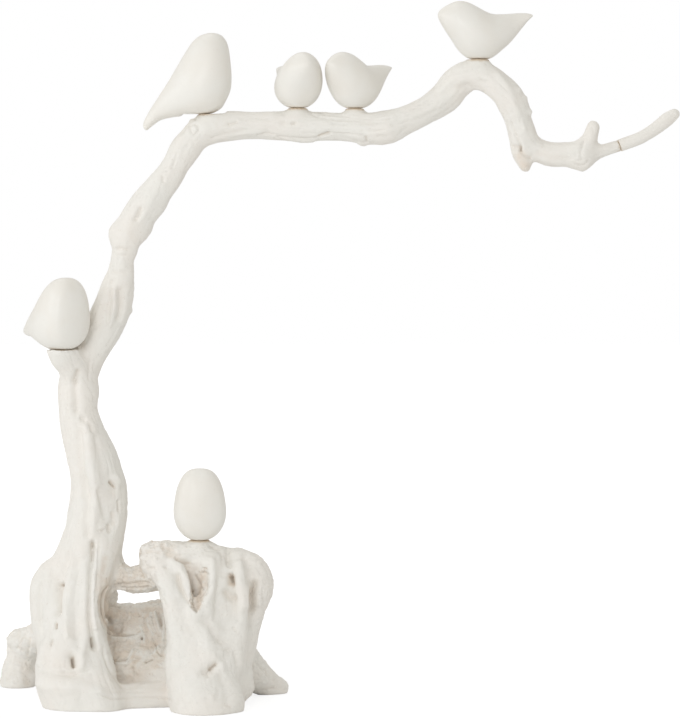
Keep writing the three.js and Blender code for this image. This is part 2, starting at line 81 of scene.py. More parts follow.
# A limb is a row of balls (x, y, z, radius) that the wood runs through.
LIMBS = {
    "trunk": [
        (-170, -6, 42, 19.5), (-167, -4, 68, 19.5), (-163.5, 0, 91, 19.5), (-160, 2, 107, 18.8),
        (-157, 2, 123, 18.5), (-156.3, 2, 140, 17.4), (-159, 2, 158, 16.4), (-164, 2, 173, 14.5),
        (-168.8, 2, 192, 12.6), (-169.4, 3, 209, 12.1), (-163.6, 5, 224, 11), (-156.2, 5, 238, 11.7),
        (-149, 5, 253, 12.6), (-143.5, 4, 269, 11.3), (-140.3, 2, 283, 8.6), (-138.7, 0, 296, 7.1),
        (-136, 0, 307.5, 9.2), (-122.9, 0, 327.5, 10.5), (-108, -1, 347, 9.1), (-98.4, -2, 363, 8.3),
    ],
    "arm": [
        (-98.4, -2, 363, 8.3), (-88, -2, 374.2, 9.8), (-72, -1, 378.2, 9.6), (-48, 0, 379, 9),
        (-23, 1, 378, 9.9), (3, 0, 378, 8.8), (30, -1, 377, 10.8), (46, -1, 382.2, 9.2), (60, 1, 389.2, 9),
        (72, 3, 397.3, 10.1), (79, 2, 406, 10.2), (88, 0, 411.4, 9.6), (98, -2, 410.5, 9.2),
        (110.3, -3, 401.2, 9.5), (116.9, -2, 391, 9.6), (121.7, 0, 377, 8.1), (128, 1, 366.6, 7.3),
        (139, 1, 360.7, 7.8), (154, -1, 360, 8), (160.5, -2, 360, 7.6),
    ],
    "elbow": [(-120.5, 0, 328, 8.3), (-127.3, 0, 321, 8.8), (-133.4, 0, 309, 8.7), (-135, 0, 300, 6.8)],
    "collar": [(-140.4, 0, 308.5, 6.6), (-126.7, 0, 311, 5.4)],
    "perch": [
        (-167, 0, 204, 11.6), (-169.2, -3, 214, 9.8), (-171.5, -6, 221, 9.7), (-175.5, -10, 228, 10),
        (-178, -13, 234, 9.9),
    ],
    "spur": [(121.4, 0, 375, 6.9), (121.6, 0, 363, 6.4), (123.6, -1, 355.5, 5), (124.4, -1, 352.3, 3.6)],
    "sprig": [(161, -2, 361, 6), (166, -2, 369, 5.2), (168.8, -2, 377.5, 4.3)],
    "knuckle": [(159.5, -2, 357.3, 6.2), (161.6, -2, 354, 4.1)],
    "twig": [(163, -1, 358.3, 5), (172, 0, 361.2, 4.5), (185, 1, 365.3, 3.9)],
    "left_buttress": [
        (-172, 2, 108, 5), (-179.6, 2, 92, 7.4), (-187.2, 2, 78, 12.7), (-188.3, 4, 58, 12.3),
        (-186.6, 4, 40, 10.5), (-183, 2, 18, 10), (-178, 0, 2, 8),
    ],
    "front_left_foot": [
        (-172, -8, 42, 19.5), (-173, -15, 24, 23.2), (-169.5, -20, 9, 23), (-166, -23, -2, 21),
    ],
    "left_toe": [(-157, -18, 28, 10), (-155, -27, 14, 13), (-151, -31, 2, 14.5)],
    "alcove_jamb": [
        (-149, 2, 120, 9), (-152, -4, 101, 8.5), (-158, -14, 82, 6.5), (-160, -18, 62, 6.5),
        (-157, -18, 40, 8), (-153, -18, 20, 10),
    ],
    "right_strand": [
        (-156, 8, 174, 5), (-150, 8, 158, 6.5), (-145, 8, 139, 7.5), (-146, 8, 123, 8), (-149, 8, 103, 8.5),
        (-153, 14, 82, 9.5), (-157, 20, 62, 11.5), (-158, 24, 31, 14.5), (-154, 24, -2, 16),
    ],
    "front_ridge": [(-161, -11, 180, 4), (-157, -14, 155, 4.5), (-152, -14, 135, 4.5), (-147, -13, 118, 4)],
    "under_fill": [(-165, 10, 8, 20), (-130, 14, 6, 24), (-95, 6, 8, 26)],
    "back_wall": [(-159, 28, 39.6, 22.5), (-137, 30, 39, 22.8), (-111, 28, 40.6, 24)],
    "alcove_floor": [(-150, 12, 21, 18.5), (-129, 12, 21, 19), (-110, 10, 21, 18)],
    "front_lip": [(-153, -26, 3, 10), (-131, -18, 3, 12), (-107, -12, 3, 12)],
    "lintel": [(-151, 8, 87.4, 10.4), (-136, 5, 80.4, 8.6), (-122, 2, 82.3, 9.9), (-114, 0, 85, 10)],
    "stump_left_hump": [(-121.3, -2, 98.3, 7.6), (-114, -2, 99, 8), (-106, -1, 96.5, 8.3)],
    "stump_crown": [(-102, -2, 94.5, 11.2), (-89, -2, 94, 12), (-78, -2, 92.5, 11.3), (-68, -2, 90.5, 9.3)],
    "stump_right_hump": [
        (-63, -1, 91.5, 10.2), (-56, 0, 86.4, 12), (-52.5, 0, 77, 12.4), (-55.5, 0, 66, 11.1),
        (-59.2, 0, 50, 9.8), (-65, 0, 34, 9.6), (-62, -6, 12, 9),
    ],
    "stump_core": [(-89, 2, 77, 17), (-86, 2, 57, 22.5), (-83, -4, 35, 25), (-82, -10, 9, 23.5)],
    "stump_right_core": [(-68, 5, 86, 10), (-68, 5, 62, 13), (-68, 2, 40, 16)],
    "left_column": [
        (-118, -6, 94, 8), (-111, -14, 84, 8), (-105, -22, 70, 8), (-99, -27, 44, 10.5),
        (-95, -28, 24, 15.5), (-89, -32, 6, 18),
    ],
    "middle_column": [
        (-80, -14, 91, 8), (-81, -20, 76, 6), (-85, -24, 62, 8.5), (-84, -26, 38, 14.5), (-81, -30, 12, 19.5),
    ],
    "front_right_foot": [(-89, -36, 13, 17.5), (-85, -42, 2, 19.5), (-76, -38, 4, 17.5)],
    "right_rib": [(-65, -14, 87, 6), (-62, -18, 70, 5), (-65, -18, 50, 8), (-70, -22, 31, 11.5)],
    "stump_web": [(-72, -8, 88, 8.5), (-72, -11, 74, 9), (-74, -14, 60, 10)],
    "stump_strap": [
        (-104, -13, 94, 3.5), (-100.5, -17, 89, 3.2), (-97.3, -21, 82.5, 3), (-95.3, -24.5, 75, 2.8),
        (-93, -28, 67.5, 3), (-90.5, -30.5, 60, 4),
    ],
    "back_right_foot": [(-68.5, 16, 38, 10.8), (-58, 26, 19, 12.2), (-48, 36, 9, 10), (-39, 42, 3, 7.5)],
    "back_mass": [(-92, 22, 72, 17.5), (-97, 30, 44, 22.5), (-97, 36, 10, 24)],
    "back_left_root": [
        (-170, 24, 65, 14.5), (-183, 42, 45, 13.8), (-202, 60, 34, 11), (-214.4, 70, 30.6, 9.1),
    ],
    "back_left_foot": [(-210, 70, 25, 8), (-213.8, 73, 13, 11.7), (-215.8, 74, 3, 12.1)],
}

# A hollow is a row of balls that is taken out of the wood.
HOLLOWS = {
    "stump_teardrop": [
        (-86.8, -21.5, 85.5, 4.5), (-87, -24.8, 80, 5.1), (-89.2, -27.6, 73, 4.2), (-90.2, -31, 66, 2.4),
    ],
    "trunk_flute": [(-155, -14, 176, 3), (-149, -17, 155, 4), (-144, -16, 137, 4), (-142, -13, 122, 3.5)],
    "trunk_facet": [(-142, -31, 184, 24), (-134, -35, 162, 28), (-130.5, -36, 140, 30), (-136, -36, 118, 27)],
    "alcove_recess": [(-147, 5, 54.5, 6), (-144, 7.5, 51.5, 6)],
    "alcove_mouth": [
        (-145, -18, 75.5, 5.5), (-145.8, -18, 69, 8.8), (-146, -17, 61, 8.8), (-143.5, -14, 51, 7.5),
    ],
    "alcove_throat": [(-143, -6, 73.5, 6), (-143.5, -6, 67, 8), (-143.5, -6, 60, 8.5), (-142, -4, 50, 8)],
    "alcove_back": [(-141, 6, 69.5, 5.5), (-141, 7, 64, 7), (-141, 8, 57, 7.5)],
    "elbow_notch": [(-122, -14, 296.5, 7.5), (-122, 0, 295.9, 7.5), (-122, 14, 295.3, 7.5)],
}

# Marks in the surface, placed where the photograph shows them: width and depth in millimetres (a depth below
# zero is a raised ridge), strength of the brown wash in it, which also paints shade into its pits and
# grooves, and its path in photo pixels (u, v, u, v ...). Marks that make up one feature stand under one name.
MARKS = {
    # root block below the trunk
    "block_eye": [
        (1.95, 3.8, 0.62, (73, 656, 73.4, 660, 74.2, 664.5)),
        (1.3, 1.8, 0.62, (73, 656.5, 73.4, 660, 73.8, 663)), (4.4, 2.5, 0.1, (71.5, 656, 72.5, 662, 73, 667)),
    ],
    "block_pit": [(1, 2.8, 0.8, (58.3, 584.5, 59.3, 584.3)), (0.8, 1, 0.15, (57, 587, 56.5, 590))],
    "block_furrow": [
        (2.7, 5.6, 0.14, (60, 585, 58.3, 592, 57.3, 600, 57, 607, 57, 611)),
        (2.2, 1.6, 0.03, (41, 585, 40.5, 602, 41, 620, 42, 640)),
        (2.6, 1.8, 0.03, (78, 560, 76, 578, 74.5, 596, 74, 616, 75, 636)),
        (4, -2.4, 0, (50, 578, 48.5, 590, 47.5, 604, 47.5, 614, 47, 622)), (0.9, 1.4, 0.4, (56.5, 610.5)),
    ],
    "block_shade": [(2.6, 2.3, 0.02, (69, 552, 67, 562, 63, 571, 59, 578))],
    "block_edge": [
        (1.15, 2.6, 0.6, (55.7, 623.5, 55.7, 627.5)),
        (1.05, 1, 0.1, (49, 620, 49.5, 630, 50.5, 640, 50, 649)), (1.5, 2.2, 0.2, (51, 640, 50.5, 643)),
    ],
    "block_shelf": [
        (4, 0, 0.14, (52, 663, 58, 664, 65, 663)), (4.5, 2.5, 0.12, (40, 662, 50, 663, 64, 663)),
        (5, -3, 0, (40, 683, 48, 686, 60, 687, 78, 687, 98, 693)), (3.4, -1.4, 0, (33, 673, 34, 676)),
        (2.1, 2.2, 0.05, (33, 668, 42, 671, 52, 673.5, 64, 674.5, 76, 674, 86, 671)),
        (2.6, 1.4, 0.13, (62, 673, 70, 675, 77, 673)),
    ],
    "block_scratches": [(0.7, 0.5, 0.1, (41, 577, 41.5, 588)), (0.7, 0.5, 0.1, (45, 580, 45.5, 591))],
    "block_dimples": [(1.2, 0.7, 0.13, (43, 657, 41, 662, 39, 666)), (1.2, 0.8, 0.13, (85.5, 664, 85, 667))],
    "block_ridges": [
        (1.8, -1, 0, (66, 600, 66, 620, 67, 636)), (3, 1.2, 0, (80, 575, 80, 600, 79, 625, 79, 645)),
        (2.6, -1.3, 0, (84, 640, 83, 655, 82, 668)),
    ],
    "block_low_pit": [(1.2, 0.9, 0.16, (50, 707, 53, 708))],
    # jamb between the block and the alcove
    "jamb_furrow": [
        (1.9, 3.8, 0.05, (92.5, 543, 93, 556, 91, 568, 90, 580, 89.5, 600, 89.5, 618, 91.5, 632, 93, 642,
         94, 648)),
    ],
    "jamb_pits": [
        (1, 1.8, 0.36, (92.8, 544, 93.2, 546.5)), (0.7, 1, 0.2, (93, 552, 92.3, 560)),
        (1.4, 2.8, 0.45, (92.2, 639, 93.3, 645)),
    ],
    "jamb_ribs": [
        (1.1, -0.8, 0, (95.5, 550, 95.3, 562)), (0.83, 1, 0.13, (99, 547, 98.5, 560, 98, 575, 96.5, 592)),
        (1.5, -1.2, 0, (93.5, 572, 93, 590, 93, 610, 95, 628)),
    ],
    "jamb_inner_edge": [
        (3.6, 0.6, 0.34, (105, 560, 104, 568, 101, 576)),
        (1.3, 0.9, 0.18, (103.5, 648, 105, 657, 108, 665, 111, 671, 116, 678)),
        (2.4, 0.6, 0.13, (96, 645, 99, 655)),
    ],
    # alcove
    # Wide brown patches in the alcove, darkest deep under the lintel: brown, and painted shade in the hollow
    "alcove_browns_and_shade": [
        (9, 0, 0.56, (105, 588, 104, 600, 106, 612, 110, 625)), (8, 0, 0.39, (122, 615, 134, 617, 120, 630)),
        (8, 0, 0.36, (146, 612, 152, 628, 152, 645)), (7, 0, 0.36, (118, 642, 121, 655, 130, 648)),
        (7, 0, 0.29, (130, 668, 134, 680, 150, 662)),
    ],
    "alcove_pocket": [
        (4.8, 2.2, 0.56, (108, 614, 110, 622, 116, 630)), (1.8, -1.6, 0.1, (116, 626)),
        (1.2, -1.6, 0.1, (105, 620, 109, 624, 113, 623.5, 117, 620)), (2.4, 1.6, 0.6, (112, 627, 117, 631)),
        (1.8, 1.6, 0.62, (112, 618, 113, 623)),
    ],
    "alcove_back_lines": [(0.75, 1, 0.52, (109, 607, 115, 606, 124, 608))],
    "alcove_curl": [
        (1.6, -1.5, 0.07, (112, 591, 116, 594, 116.5, 598, 113, 602)),
        (1.12, 1.8, 0.45, (109, 592, 108, 598, 110, 604)),
    ],
    "alcove_rings": [
        (0.85, 1.3, 0.62, (108, 587, 103.5, 592, 101.5, 600, 101.5, 609, 103.5, 618, 106.5, 626)),
        (0.8, 1.3, 0.58, (112, 588, 107, 594, 105, 602, 105.5, 611, 108, 619)),
        (0.75, 0.9, 0.4, (113.5, 593, 110, 598, 109, 604, 111, 610)),
        (1, -0.5, 0.1, (110, 587, 105, 593, 103.2, 602, 103.5, 611, 106, 619)),
        (4.6, 0, 0.55, (104, 590, 101, 600, 102, 612, 106, 624)),
    ],
    "alcove_lip": [
        (0.83, 1.4, 0.55, (106, 629, 110, 634, 117, 635, 125, 635.5, 134, 634.5)),
        (1, -0.9, 0.07, (112, 637, 124, 638, 136, 636.5, 142, 633)),
    ],
    "alcove_panel": [
        (0.83, 1.1, 0.39, (113, 641, 113.5, 650, 112.5, 657)),
        (0.95, 1.7, 0.54, (113, 659, 118, 661, 123, 660, 127, 659)), (1.2, -1.4, 0, (118, 663.5, 127, 663)),
        (1, -1.5, 0, (127, 661, 130, 656, 132.5, 651)),
    ],
    "alcove_pit": [(1.2, 2.6, 0.95, (141.7, 638))],
    "alcove_crumbs": [
        (0.7, 0.9, 0.45, (138, 616, 141, 615)), (0.7, 0.9, 0.39, (141, 622.5, 143, 621)),
        (0.7, 1, 0.39, (137, 633, 139.5, 631.5)), (0.75, 0.9, 0.33, (141, 641, 142, 644)),
    ],
    "alcove_rust": [
        (1.3, 0.9, 0.42, (145.5, 616, 147, 621)), (1.3, -1, 0.07, (151, 613, 151.5, 622, 155, 630)),
    ],
    "alcove_slivers": [
        (1, -1.9, 0, (155, 612, 157.5, 621, 160, 631)), (1, -1.8, 0, (147, 618, 149, 627, 153, 634)),
        (0.85, -1.3, 0, (140, 626, 143, 634, 144, 642)), (0.95, -1.6, 0, (163, 618, 164, 628, 163, 640)),
        (0.9, -1.5, 0, (150, 655, 155, 652, 158, 646)),
    ],
    "alcove_grooves": [
        (0.85, 1.5, 0.52, (158, 611, 160, 620, 162, 630)),
        (0.85, 1.5, 0.48, (152, 616, 153.5, 625, 156.5, 633)),
        (0.75, 1, 0.45, (144, 624, 146.5, 632, 148, 641)), (0.98, 1.4, 0.4, (156, 612, 159, 619, 160.5, 624)),
        (0.75, 1.2, 0.45, (160, 628, 159, 636)),
    ],
    "alcove_specks": [
        (0.7, 0.9, 0.45, (164, 615.5)), (0.7, 0.9, 0.45, (166, 623)), (0.7, 0.9, 0.6, (139, 615)),
        (0.7, 0.9, 0.55, (144, 622.5)), (0.7, 0.9, 0.5, (137, 643, 139, 642)),
        (0.7, 0.8, 0.5, (149, 674, 152, 674)),
    ],
    "alcove_arcs": [
        (0.85, 1.3, 0.5, (152, 638, 156, 644, 157, 651, 161, 655)),
        (0.75, 0.8, 0.29, (147, 645, 151, 651, 154, 654)),
        (0.75, 1.1, 0.39, (166, 640, 163.5, 648, 162.5, 655)),
    ],
    "alcove_slit": [(0.95, 2, 0.66, (145.5, 662, 149, 660.5, 152, 659.5))],
    "alcove_low_corner": [
        (2.2, 0.6, 0.52, (132, 657, 139, 658, 134, 662)), (1.3, 1.6, 0.46, (133, 668, 134, 675)),
        (0.83, 0.9, 0.39, (156, 666.5, 162, 667)),
    ],
    "alcove_floor": [
        (1.8, 0.6, 0.2, (114, 676, 119, 684, 126, 688, 135, 687, 142, 683)),
        (0.9, 1, 0.39, (121, 679.5, 125, 680, 132, 680)),
    ],
    # lintel
    "lintel_layers": [
        (0.9, 1.5, 0.55, (118, 585, 130, 583.5, 142, 582, 149, 584)),
        (0.8, 1.3, 0.5, (121, 588, 134, 588.5, 148, 588)), (0.75, 0.8, 0.26, (124, 577, 133, 578, 141, 577)),
    ],
    "lintel_knot": [(1.12, 1.4, 0.39, (141, 575, 143, 578))],
    # A wide brown band along the lintel's lower edge paints the shade under it; a raised rim above
    "lintel_rim": [
        (4.6, 0, 0.34, (118, 584, 132, 584, 147, 585)), (1.1, -0.9, 0, (121, 568, 130, 569.5, 137, 567)),
    ],
    # left hump of the stump and the edge below it
    "hump_knobs": [
        (2.1, -1.9, 0, (143, 548)), (1.8, -1.6, 0, (149, 545)), (2.2, -1.7, 0, (158, 543.5)),
        (1.8, -1.3, 0, (167, 545)), (2, -1.7, 0, (142, 558)), (2, -1.4, 0, (144, 569)),
        (1.7, -1.4, 0, (152, 574)), (1.6, -1.3, 0, (159, 584)), (1.5, -1.3, 0, (163, 593)),
        (1.6, -1.6, 0, (148, 563)), (1.7, -1.4, 0, (156, 559)), (1.5, -1.4, 0, (163, 556)),
        (1.5, -1.4, 0, (149, 577)), (1.6, -1.6, 0, (156, 574)), (1.5, -1.4, 0, (154, 586)),
        (1.4, -0.9, 0, (161, 598)),
    ],
    "hump_folds_and_pits": [
        (1.12, 1.2, 0.23, (146, 552, 153, 551, 160, 552)), (0.9, 1.3, 0.33, (145.5, 563)),
        (0.75, 1.1, 0.26, (150, 557)), (1.05, 1, 0.2, (147, 570, 151, 568, 156, 569)),
        (0.83, 1.1, 0.33, (165.5, 567.5)), (0.7, 1, 0.4, (152.5, 567)), (0.7, 1, 0.35, (146.5, 556)),
        (0.7, 1, 0.35, (159, 590, 157, 594)), (0.7, 0.9, 0.3, (151, 581)),
    ],
    "hump_step": [(1.12, 1, 0.26, (163, 548, 171, 549, 176, 551)), (3.4, 1.3, 0.33, (170, 554, 177, 556))],
    "column_top": [(0.7, 0.7, 0.2, (153, 587, 156, 590)), (1.05, 1, 0.13, (163, 600, 166, 606))],
    # stump
    "crown_dents": [
        (1.6, 3.2, 0.48, (177, 558, 183, 560.5, 188, 564)), (0.98, 1.2, 0.39, (186, 566, 190, 568)),
    ],
    "pink_groove": [
        (1.5, 2.2, 0.3, (177.5, 575, 180, 585, 184, 594, 188, 602)),
        (1.3, -0.6, 0.04, (181, 569, 187, 579, 190, 590, 193, 602, 196, 612)),
    ],
    "teardrop": [
        (4, 0, 0.5, (202, 578, 201, 588, 198, 600, 197, 607)),
        (1, 1.2, 0.5, (195.5, 576, 198, 581, 201, 586, 203, 589)), (0.9, 1, 0.45, (199, 573, 206, 573)),
        (0.9, 0.9, 0.45, (207, 580, 206.5, 588, 204, 594)), (1.3, -0.8, 0.2, (204, 582)),
    ],
    "lobe_groove": [(1, 1.4, 0.6, (192.5, 591, 193, 599, 194.5, 606, 196.5, 612))],
    "crown_pit": [(0.9, 1.5, 0.52, (203, 569, 206, 568.5))],
    "middle_rib": [
        (2.2, -1.3, 0, (213, 560, 213.5, 575, 212, 590, 207, 602)),
        (2.4, 1.7, 0.03, (219, 560, 219, 580, 217, 600, 216.5, 618)),
    ],
    "stump_hole": [
        (2.4, 4, 0.66, (230.8, 578, 231.3, 583.5)), (1.2, 1.2, 0.9, (229.8, 577, 231, 582)),
        (1, 1.4, 0.5, (229, 575)), (1.6, 0.4, 0.36, (231.5, 585, 231.5, 588)),
        (2.3, 3.6, 0.2, (226.5, 592, 229, 596.5, 233, 597.5)), (1.1, 0.8, 0.12, (226, 603, 227.5, 610)),
    ],
    "stump_fold": [(3.4, 1.3, 0.06, (222, 676, 226, 688, 228, 700))],
    "right_hollow": [
        (2.4, 4.3, 0.14, (254.5, 584, 252.5, 591, 251.5, 600, 252.5, 609)),
        (2.4, -1.6, 0, (247, 584, 246, 596, 246, 606)), (2.6, -1.8, 0, (260, 580, 259, 592, 258.5, 604)),
        (1, 1.4, 0.36, (255, 585, 252.8, 590, 251.8, 595)),
    ],
    "right_pit": [(0.75, 1.3, 0.39, (259.5, 594)), (0.75, 0.8, 0.13, (262, 588, 263, 600))],
    "right_facet": [
        (2.2, 1.2, 0.03, (246, 557, 250, 570, 249, 583)),
        (2.2, -1.2, 0, (240, 562, 242, 576, 243, 592, 243, 606)),
    ],
    "saddle": [
        (1.9, 2, 0.1, (222, 553, 224, 562, 223.5, 575)), (1.7, 0.7, 0.05, (229, 557, 236, 558, 244, 558)),
    ],
    "channel": [
        (3.2, 2.5, 0.02, (230, 556, 230.5, 565, 230.5, 574)), (3, 1.7, 0, (231, 592, 233, 604, 235, 618)),
    ],
    "waist": [
        (4.4, 3.4, 0.1, (207, 621, 214, 629, 221, 639)), (1.2, 0.7, 0.13, (233, 603, 235, 612, 238, 620)),
        (0.98, 0.9, 0.2, (233, 628, 236, 630)),
    ],
    "knee": [
        (1.1, 0.9, 0.2, (224, 649.5, 227, 649, 232, 648)), (2.2, 1.3, 0.1, (229, 652, 225, 657, 221, 660)),
        (1.9, 1.6, 0.13, (235.5, 652, 237, 658, 237.5, 663)),
    ],
    "slit": [
        (2, -1.2, 0.07, (216, 658, 222, 662, 222, 670)), (3.4, 2.9, 0.16, (206, 672, 211, 668.5)),
        (1.5, 2.8, 0.6, (211, 667, 216, 663.4)), (1.3, 0.9, 0.1, (199, 673, 204, 671)),
        (1, 1.1, 0.25, (208.5, 670, 209, 676)),
    ],
    "foot": [(1.2, 0.8, 0.1, (218, 689, 218.5, 696)), (0.98, 1, 0.23, (225, 705, 231, 707))],
    "seat_dent": [(1.8, 1.2, 0.23, (211, 545.5, 216, 548, 219, 548))],
    "hump_notch": [(1.9, 2.8, 0.06, (228, 549, 228.5, 555, 229.5, 563))],
    "right_foot": [
        (0.9, 1, 0.33, (265, 669, 268, 674)), (1.05, 0.9, 0.13, (256, 662, 262, 668, 270, 680)),
        (0.9, 0.8, 0.13, (252, 692, 268, 690, 280, 688)),
    ],
    # low front between the feet, and the root at the left
    "lip_layers": [
        (0.75, 1.1, 0.2, (98, 695, 115, 698, 140, 697.5, 160, 697.5, 170, 700)),
        (0.83, 0.6, 0.1, (112, 692, 130, 691.5, 150, 691)),
    ],
    "root_folds": [
        (1.05, 1.2, 0.2, (26, 634, 22, 640, 17, 648)), (1.05, 1.1, 0.2, (31, 640, 28.5, 648, 28, 655)),
    ],
    "root_knobs": [(2.6, -2, 0, (10, 642)), (2.4, -1.2, 0, (24, 632))],
    "root_waist": [
        (2.4, 1.5, 0.05, (9, 650, 10, 653)), (0.9, 0.9, 0.2, (6, 681, 9, 678, 10, 683)),
        (4, 0.4, 0.23, (26, 665, 27, 675, 27, 684)),
    ],
    # lower trunk
    "trunk_dent": [(2, 2.9, 0.2, (78.5, 372, 76.5, 377, 75, 381))],
    "trunk_furrow": [
        (2.4, 2.5, 0.1, (75, 384, 74.5, 392, 75.5, 400, 76, 410)),
        (2.6, 1.9, 0.05, (80, 432, 80, 448, 81.5, 466, 83, 482, 84, 496)), (1.2, 0.8, 0.1, (67.5, 411)),
        (0.98, 0.8, 0.1, (90, 362, 89, 370, 88.5, 378)),
    ],
    "trunk_step": [
        (1.8, 1.3, 0.1, (82, 418.5, 84, 419)), (2, 2, 0.14, (90.5, 424, 92, 430)),
        (1.8, -0.6, 0, (80, 415.5, 86, 416)),
    ],
    "trunk_keel": [
        (3.6, -0.8, 0, (88.5, 430, 88, 445, 89, 460, 92, 475, 93, 490, 96, 503, 100, 518)),
        (2.2, 1.9, 0.07, (99, 492, 102, 504, 104, 514)),
    ],
    "trunk_eye": [
        (1.2, 2.6, 0.56, (110.6, 482.3, 112.5, 484.3, 115.2, 486.6)),
        (2.2, -2.3, 0.05, (116, 477.5, 119, 481.5)), (2.8, 0.6, 0.2, (113, 491, 114, 496)),
    ],
    "trunk_slit": [(1.5, 2.2, 0.28, (119.4, 502, 119.6, 506, 119.7, 510))],
    "trunk_belly": [
        (2.1, 1.7, 0.07, (84, 478, 87, 490, 88.5, 505, 86, 520, 87.5, 535)),
        (2, -1.2, 0, (93, 508, 94, 520, 94, 534)), (2, 1.7, 0.2, (113, 514, 114, 525)),
        (1.5, 2.6, 0.25, (109.2, 526, 109.2, 531)),
    ],
    "trunk_knob": [(1.2, -1.1, 0, (100, 528.5, 104, 526)), (0.9, 1, 0.16, (99, 531, 104, 530))],
    "trunk_notches": [(1.6, -0.9, 0, (68, 457, 69, 464)), (3, 1.5, 0, (70, 478, 71, 487, 71, 496))],
    # upper trunk
    "neck_furrows": [
        (2.3, 2.6, 0.15, (119.5, 290, 121, 300, 121.5, 308, 119, 318)),
        (1.3, 1.5, 0.1, (111, 290, 109, 305, 108, 322)), (1.6, -1.6, 0, (115, 292, 114, 308, 110, 325)),
    ],
    "neck_pit": [
        (0.9, 1, 0.13, (110.5, 281, 110, 284)), (2.4, -1.3, 0, (131, 311)),
        (0.98, 0.7, 0.16, (112, 272, 119, 273, 126, 272)),
    ],
    "collar": [
        (1.05, 0.9, 0.23, (117, 249, 122, 248.5, 127, 250)), (0.9, 0.7, 0.16, (118, 255, 125, 255.5)),
        (1.9, 2.2, 0.24, (140.5, 209, 139, 213, 136, 219)), (3.4, 0, 0.13, (133, 222, 130, 232, 135, 240)),
    ],
    "rise": [
        (0.98, 1.3, 0.1, (162.5, 177, 163, 181)), (0.75, 0.8, 0.07, (166.5, 171)),
        (0.9, 0.7, 0.07, (177, 153, 175, 160, 172, 168)),
        (2, 0.5, 0.02, (187, 145, 182, 156, 176, 170, 168, 186)),
    ],
    "bend_ring": [
        (0.9, 1.1, 0.13, (190.5, 125, 190.5, 130, 194, 133.5, 198, 131, 198, 126, 194, 123.5, 190.5, 125)),
        (2, -1.3, 0, (190.5, 119.5)),
    ],
    # arm
    "arm_dents": [
        (0.98, 1.5, 0.2, (229, 124, 233, 123.5, 237, 122)), (2.2, 1.2, 0.13, (282, 124, 285, 123)),
        (1.05, 1.5, 0.23, (292.5, 123.5, 295.5, 122.5)),
    ],
    "arm_underside": [
        (1.1, 0.7, 0.12, (212, 138, 222, 134.5, 234, 132, 246, 130.5)),
        (1.2, -0.7, 0, (236, 135, 250, 133, 260, 133.5)), (0.9, 1.1, 0.23, (258, 135, 266, 134, 273, 135)),
        (0.83, 0.8, 0.18, (278, 136.5, 290, 137.5, 303, 138.5, 316, 138)),
    ],
    "arm_knot": [
        (1.3, 2.2, 0.42, (319, 137, 323, 135, 328, 133.5)),
        (0.83, 0.8, 0.16, (329, 132.5, 340, 133.5, 352, 134, 362, 136)),
    ],
    "arm_knob": [
        (0.9, 1.6, 0.33, (365.5, 137, 367, 142)), (2.2, -1.6, 0, (361, 143, 364, 144)),
        (1.6, 1.2, 0.05, (372, 143.5)), (2.4, -0.9, 0, (290, 139, 300, 141, 312, 141)),
    ],
    "arm_grain": [
        (0.75, 0.9, 0.1, (312, 114, 320, 117, 335, 119.5, 352, 120, 368, 121.5, 382, 122)),
        (0.7, 0.7, 0.1, (318, 112.5, 326, 115, 340, 116, 350, 116.5)),
        (0.75, 0.8, 0.1, (332, 124, 345, 125, 360, 123.5, 376, 124)),
        (0.7, 0.7, 0.1, (352, 118, 364, 118.5, 378, 119, 390, 118)),
        (0.83, 0.8, 0.1, (362, 130, 374, 131, 384, 130)), (0.75, 0.7, 0.13, (378, 135.5, 386, 136)),
        (0.9, 0.6, 0.03, (240, 119, 256, 118, 272, 119)),
    ],
    "crest_lines": [
        (0.9, 0.8, 0.07, (392, 126, 405, 122, 420, 118, 436, 110)),
        (0.83, 0.6, 0.07, (400, 112, 416, 108, 432, 101)),
    ],
    # A groove under the crest, browned as painted shade there, and a small nick
    "crest_foot": [
        (2.8, 1.3, 0.1, (448, 92, 454, 88, 461, 87, 467, 86)), (0.98, 0.8, 0.13, (480, 80, 484, 83, 487, 81)),
    ],
    # descent, spur and end
    "descent_keel": [(2.4, -1.2, 0, (498, 74, 508, 88, 514, 102, 519, 116, 524, 130))],
    "descent_bumps": [(2, -1.4, 0, (519, 89.5)), (1.9, -1.3, 0, (525.5, 98)), (2, -1.7, 0, (529.5, 112))],
    "descent_groove": [
        (0.9, 1.2, 0.16, (511, 123, 513.5, 130, 517, 137, 520, 145)), (0.83, 0.8, 0.13, (520, 118, 522, 128)),
    ],
    "descent_hole": [
        (1.3, 2.4, 0.55, (520, 148, 520.5, 151)), (1.7, 1.7, 0.3, (512, 147, 516, 147.5, 519.5, 148)),
    ],
    "spur": [
        (0.9, 1.5, 0.33, (520.5, 151, 524, 154.5, 528, 157, 531, 158)),
        (4.4, 0, 0.4, (520, 156, 523, 162, 525, 167)),
    ],
    # Creases along the end, a wide shallow brown band that paints shade along its lower edge, and lines at
    # the knuckle
    "end": [
        (1.1, 0.6, 0.12, (537, 152, 546, 157, 558, 159.5, 570, 158.5, 577, 155, 580, 151)),
        (3, 0.3, 0.13, (540, 153, 552, 156, 566, 157)), (0.98, 0.9, 0.07, (584, 140, 582, 150, 581, 160)),
        (0.83, 0.8, 0.13, (577, 165, 583, 166, 588, 162)),
    ],
}

# Spacing of a mark's places along its path, in photo pixels
MARK_SPACING = 0.6

# Marks at random places on the sides that the photograph doesn't show: how many, how far such a side faces
# away from the viewer, the lowest place, their directions, the spacing of their places, and their widths,
# lengths, depths and browns
HIDDEN_MARKS, HIDDEN_FACING, HIDDEN_LOWEST, HIDDEN_LEAN, HIDDEN_SPACING = 70, 0.25, 6.0, (0.3, 0.3, 1), 0.7
HIDDEN_WIDTHS, HIDDEN_LENGTHS, HIDDEN_DEPTHS, HIDDEN_BROWNS = (0.8, 1.8), (0, 8), (0.8, 2.0), (0.1, 0.5)

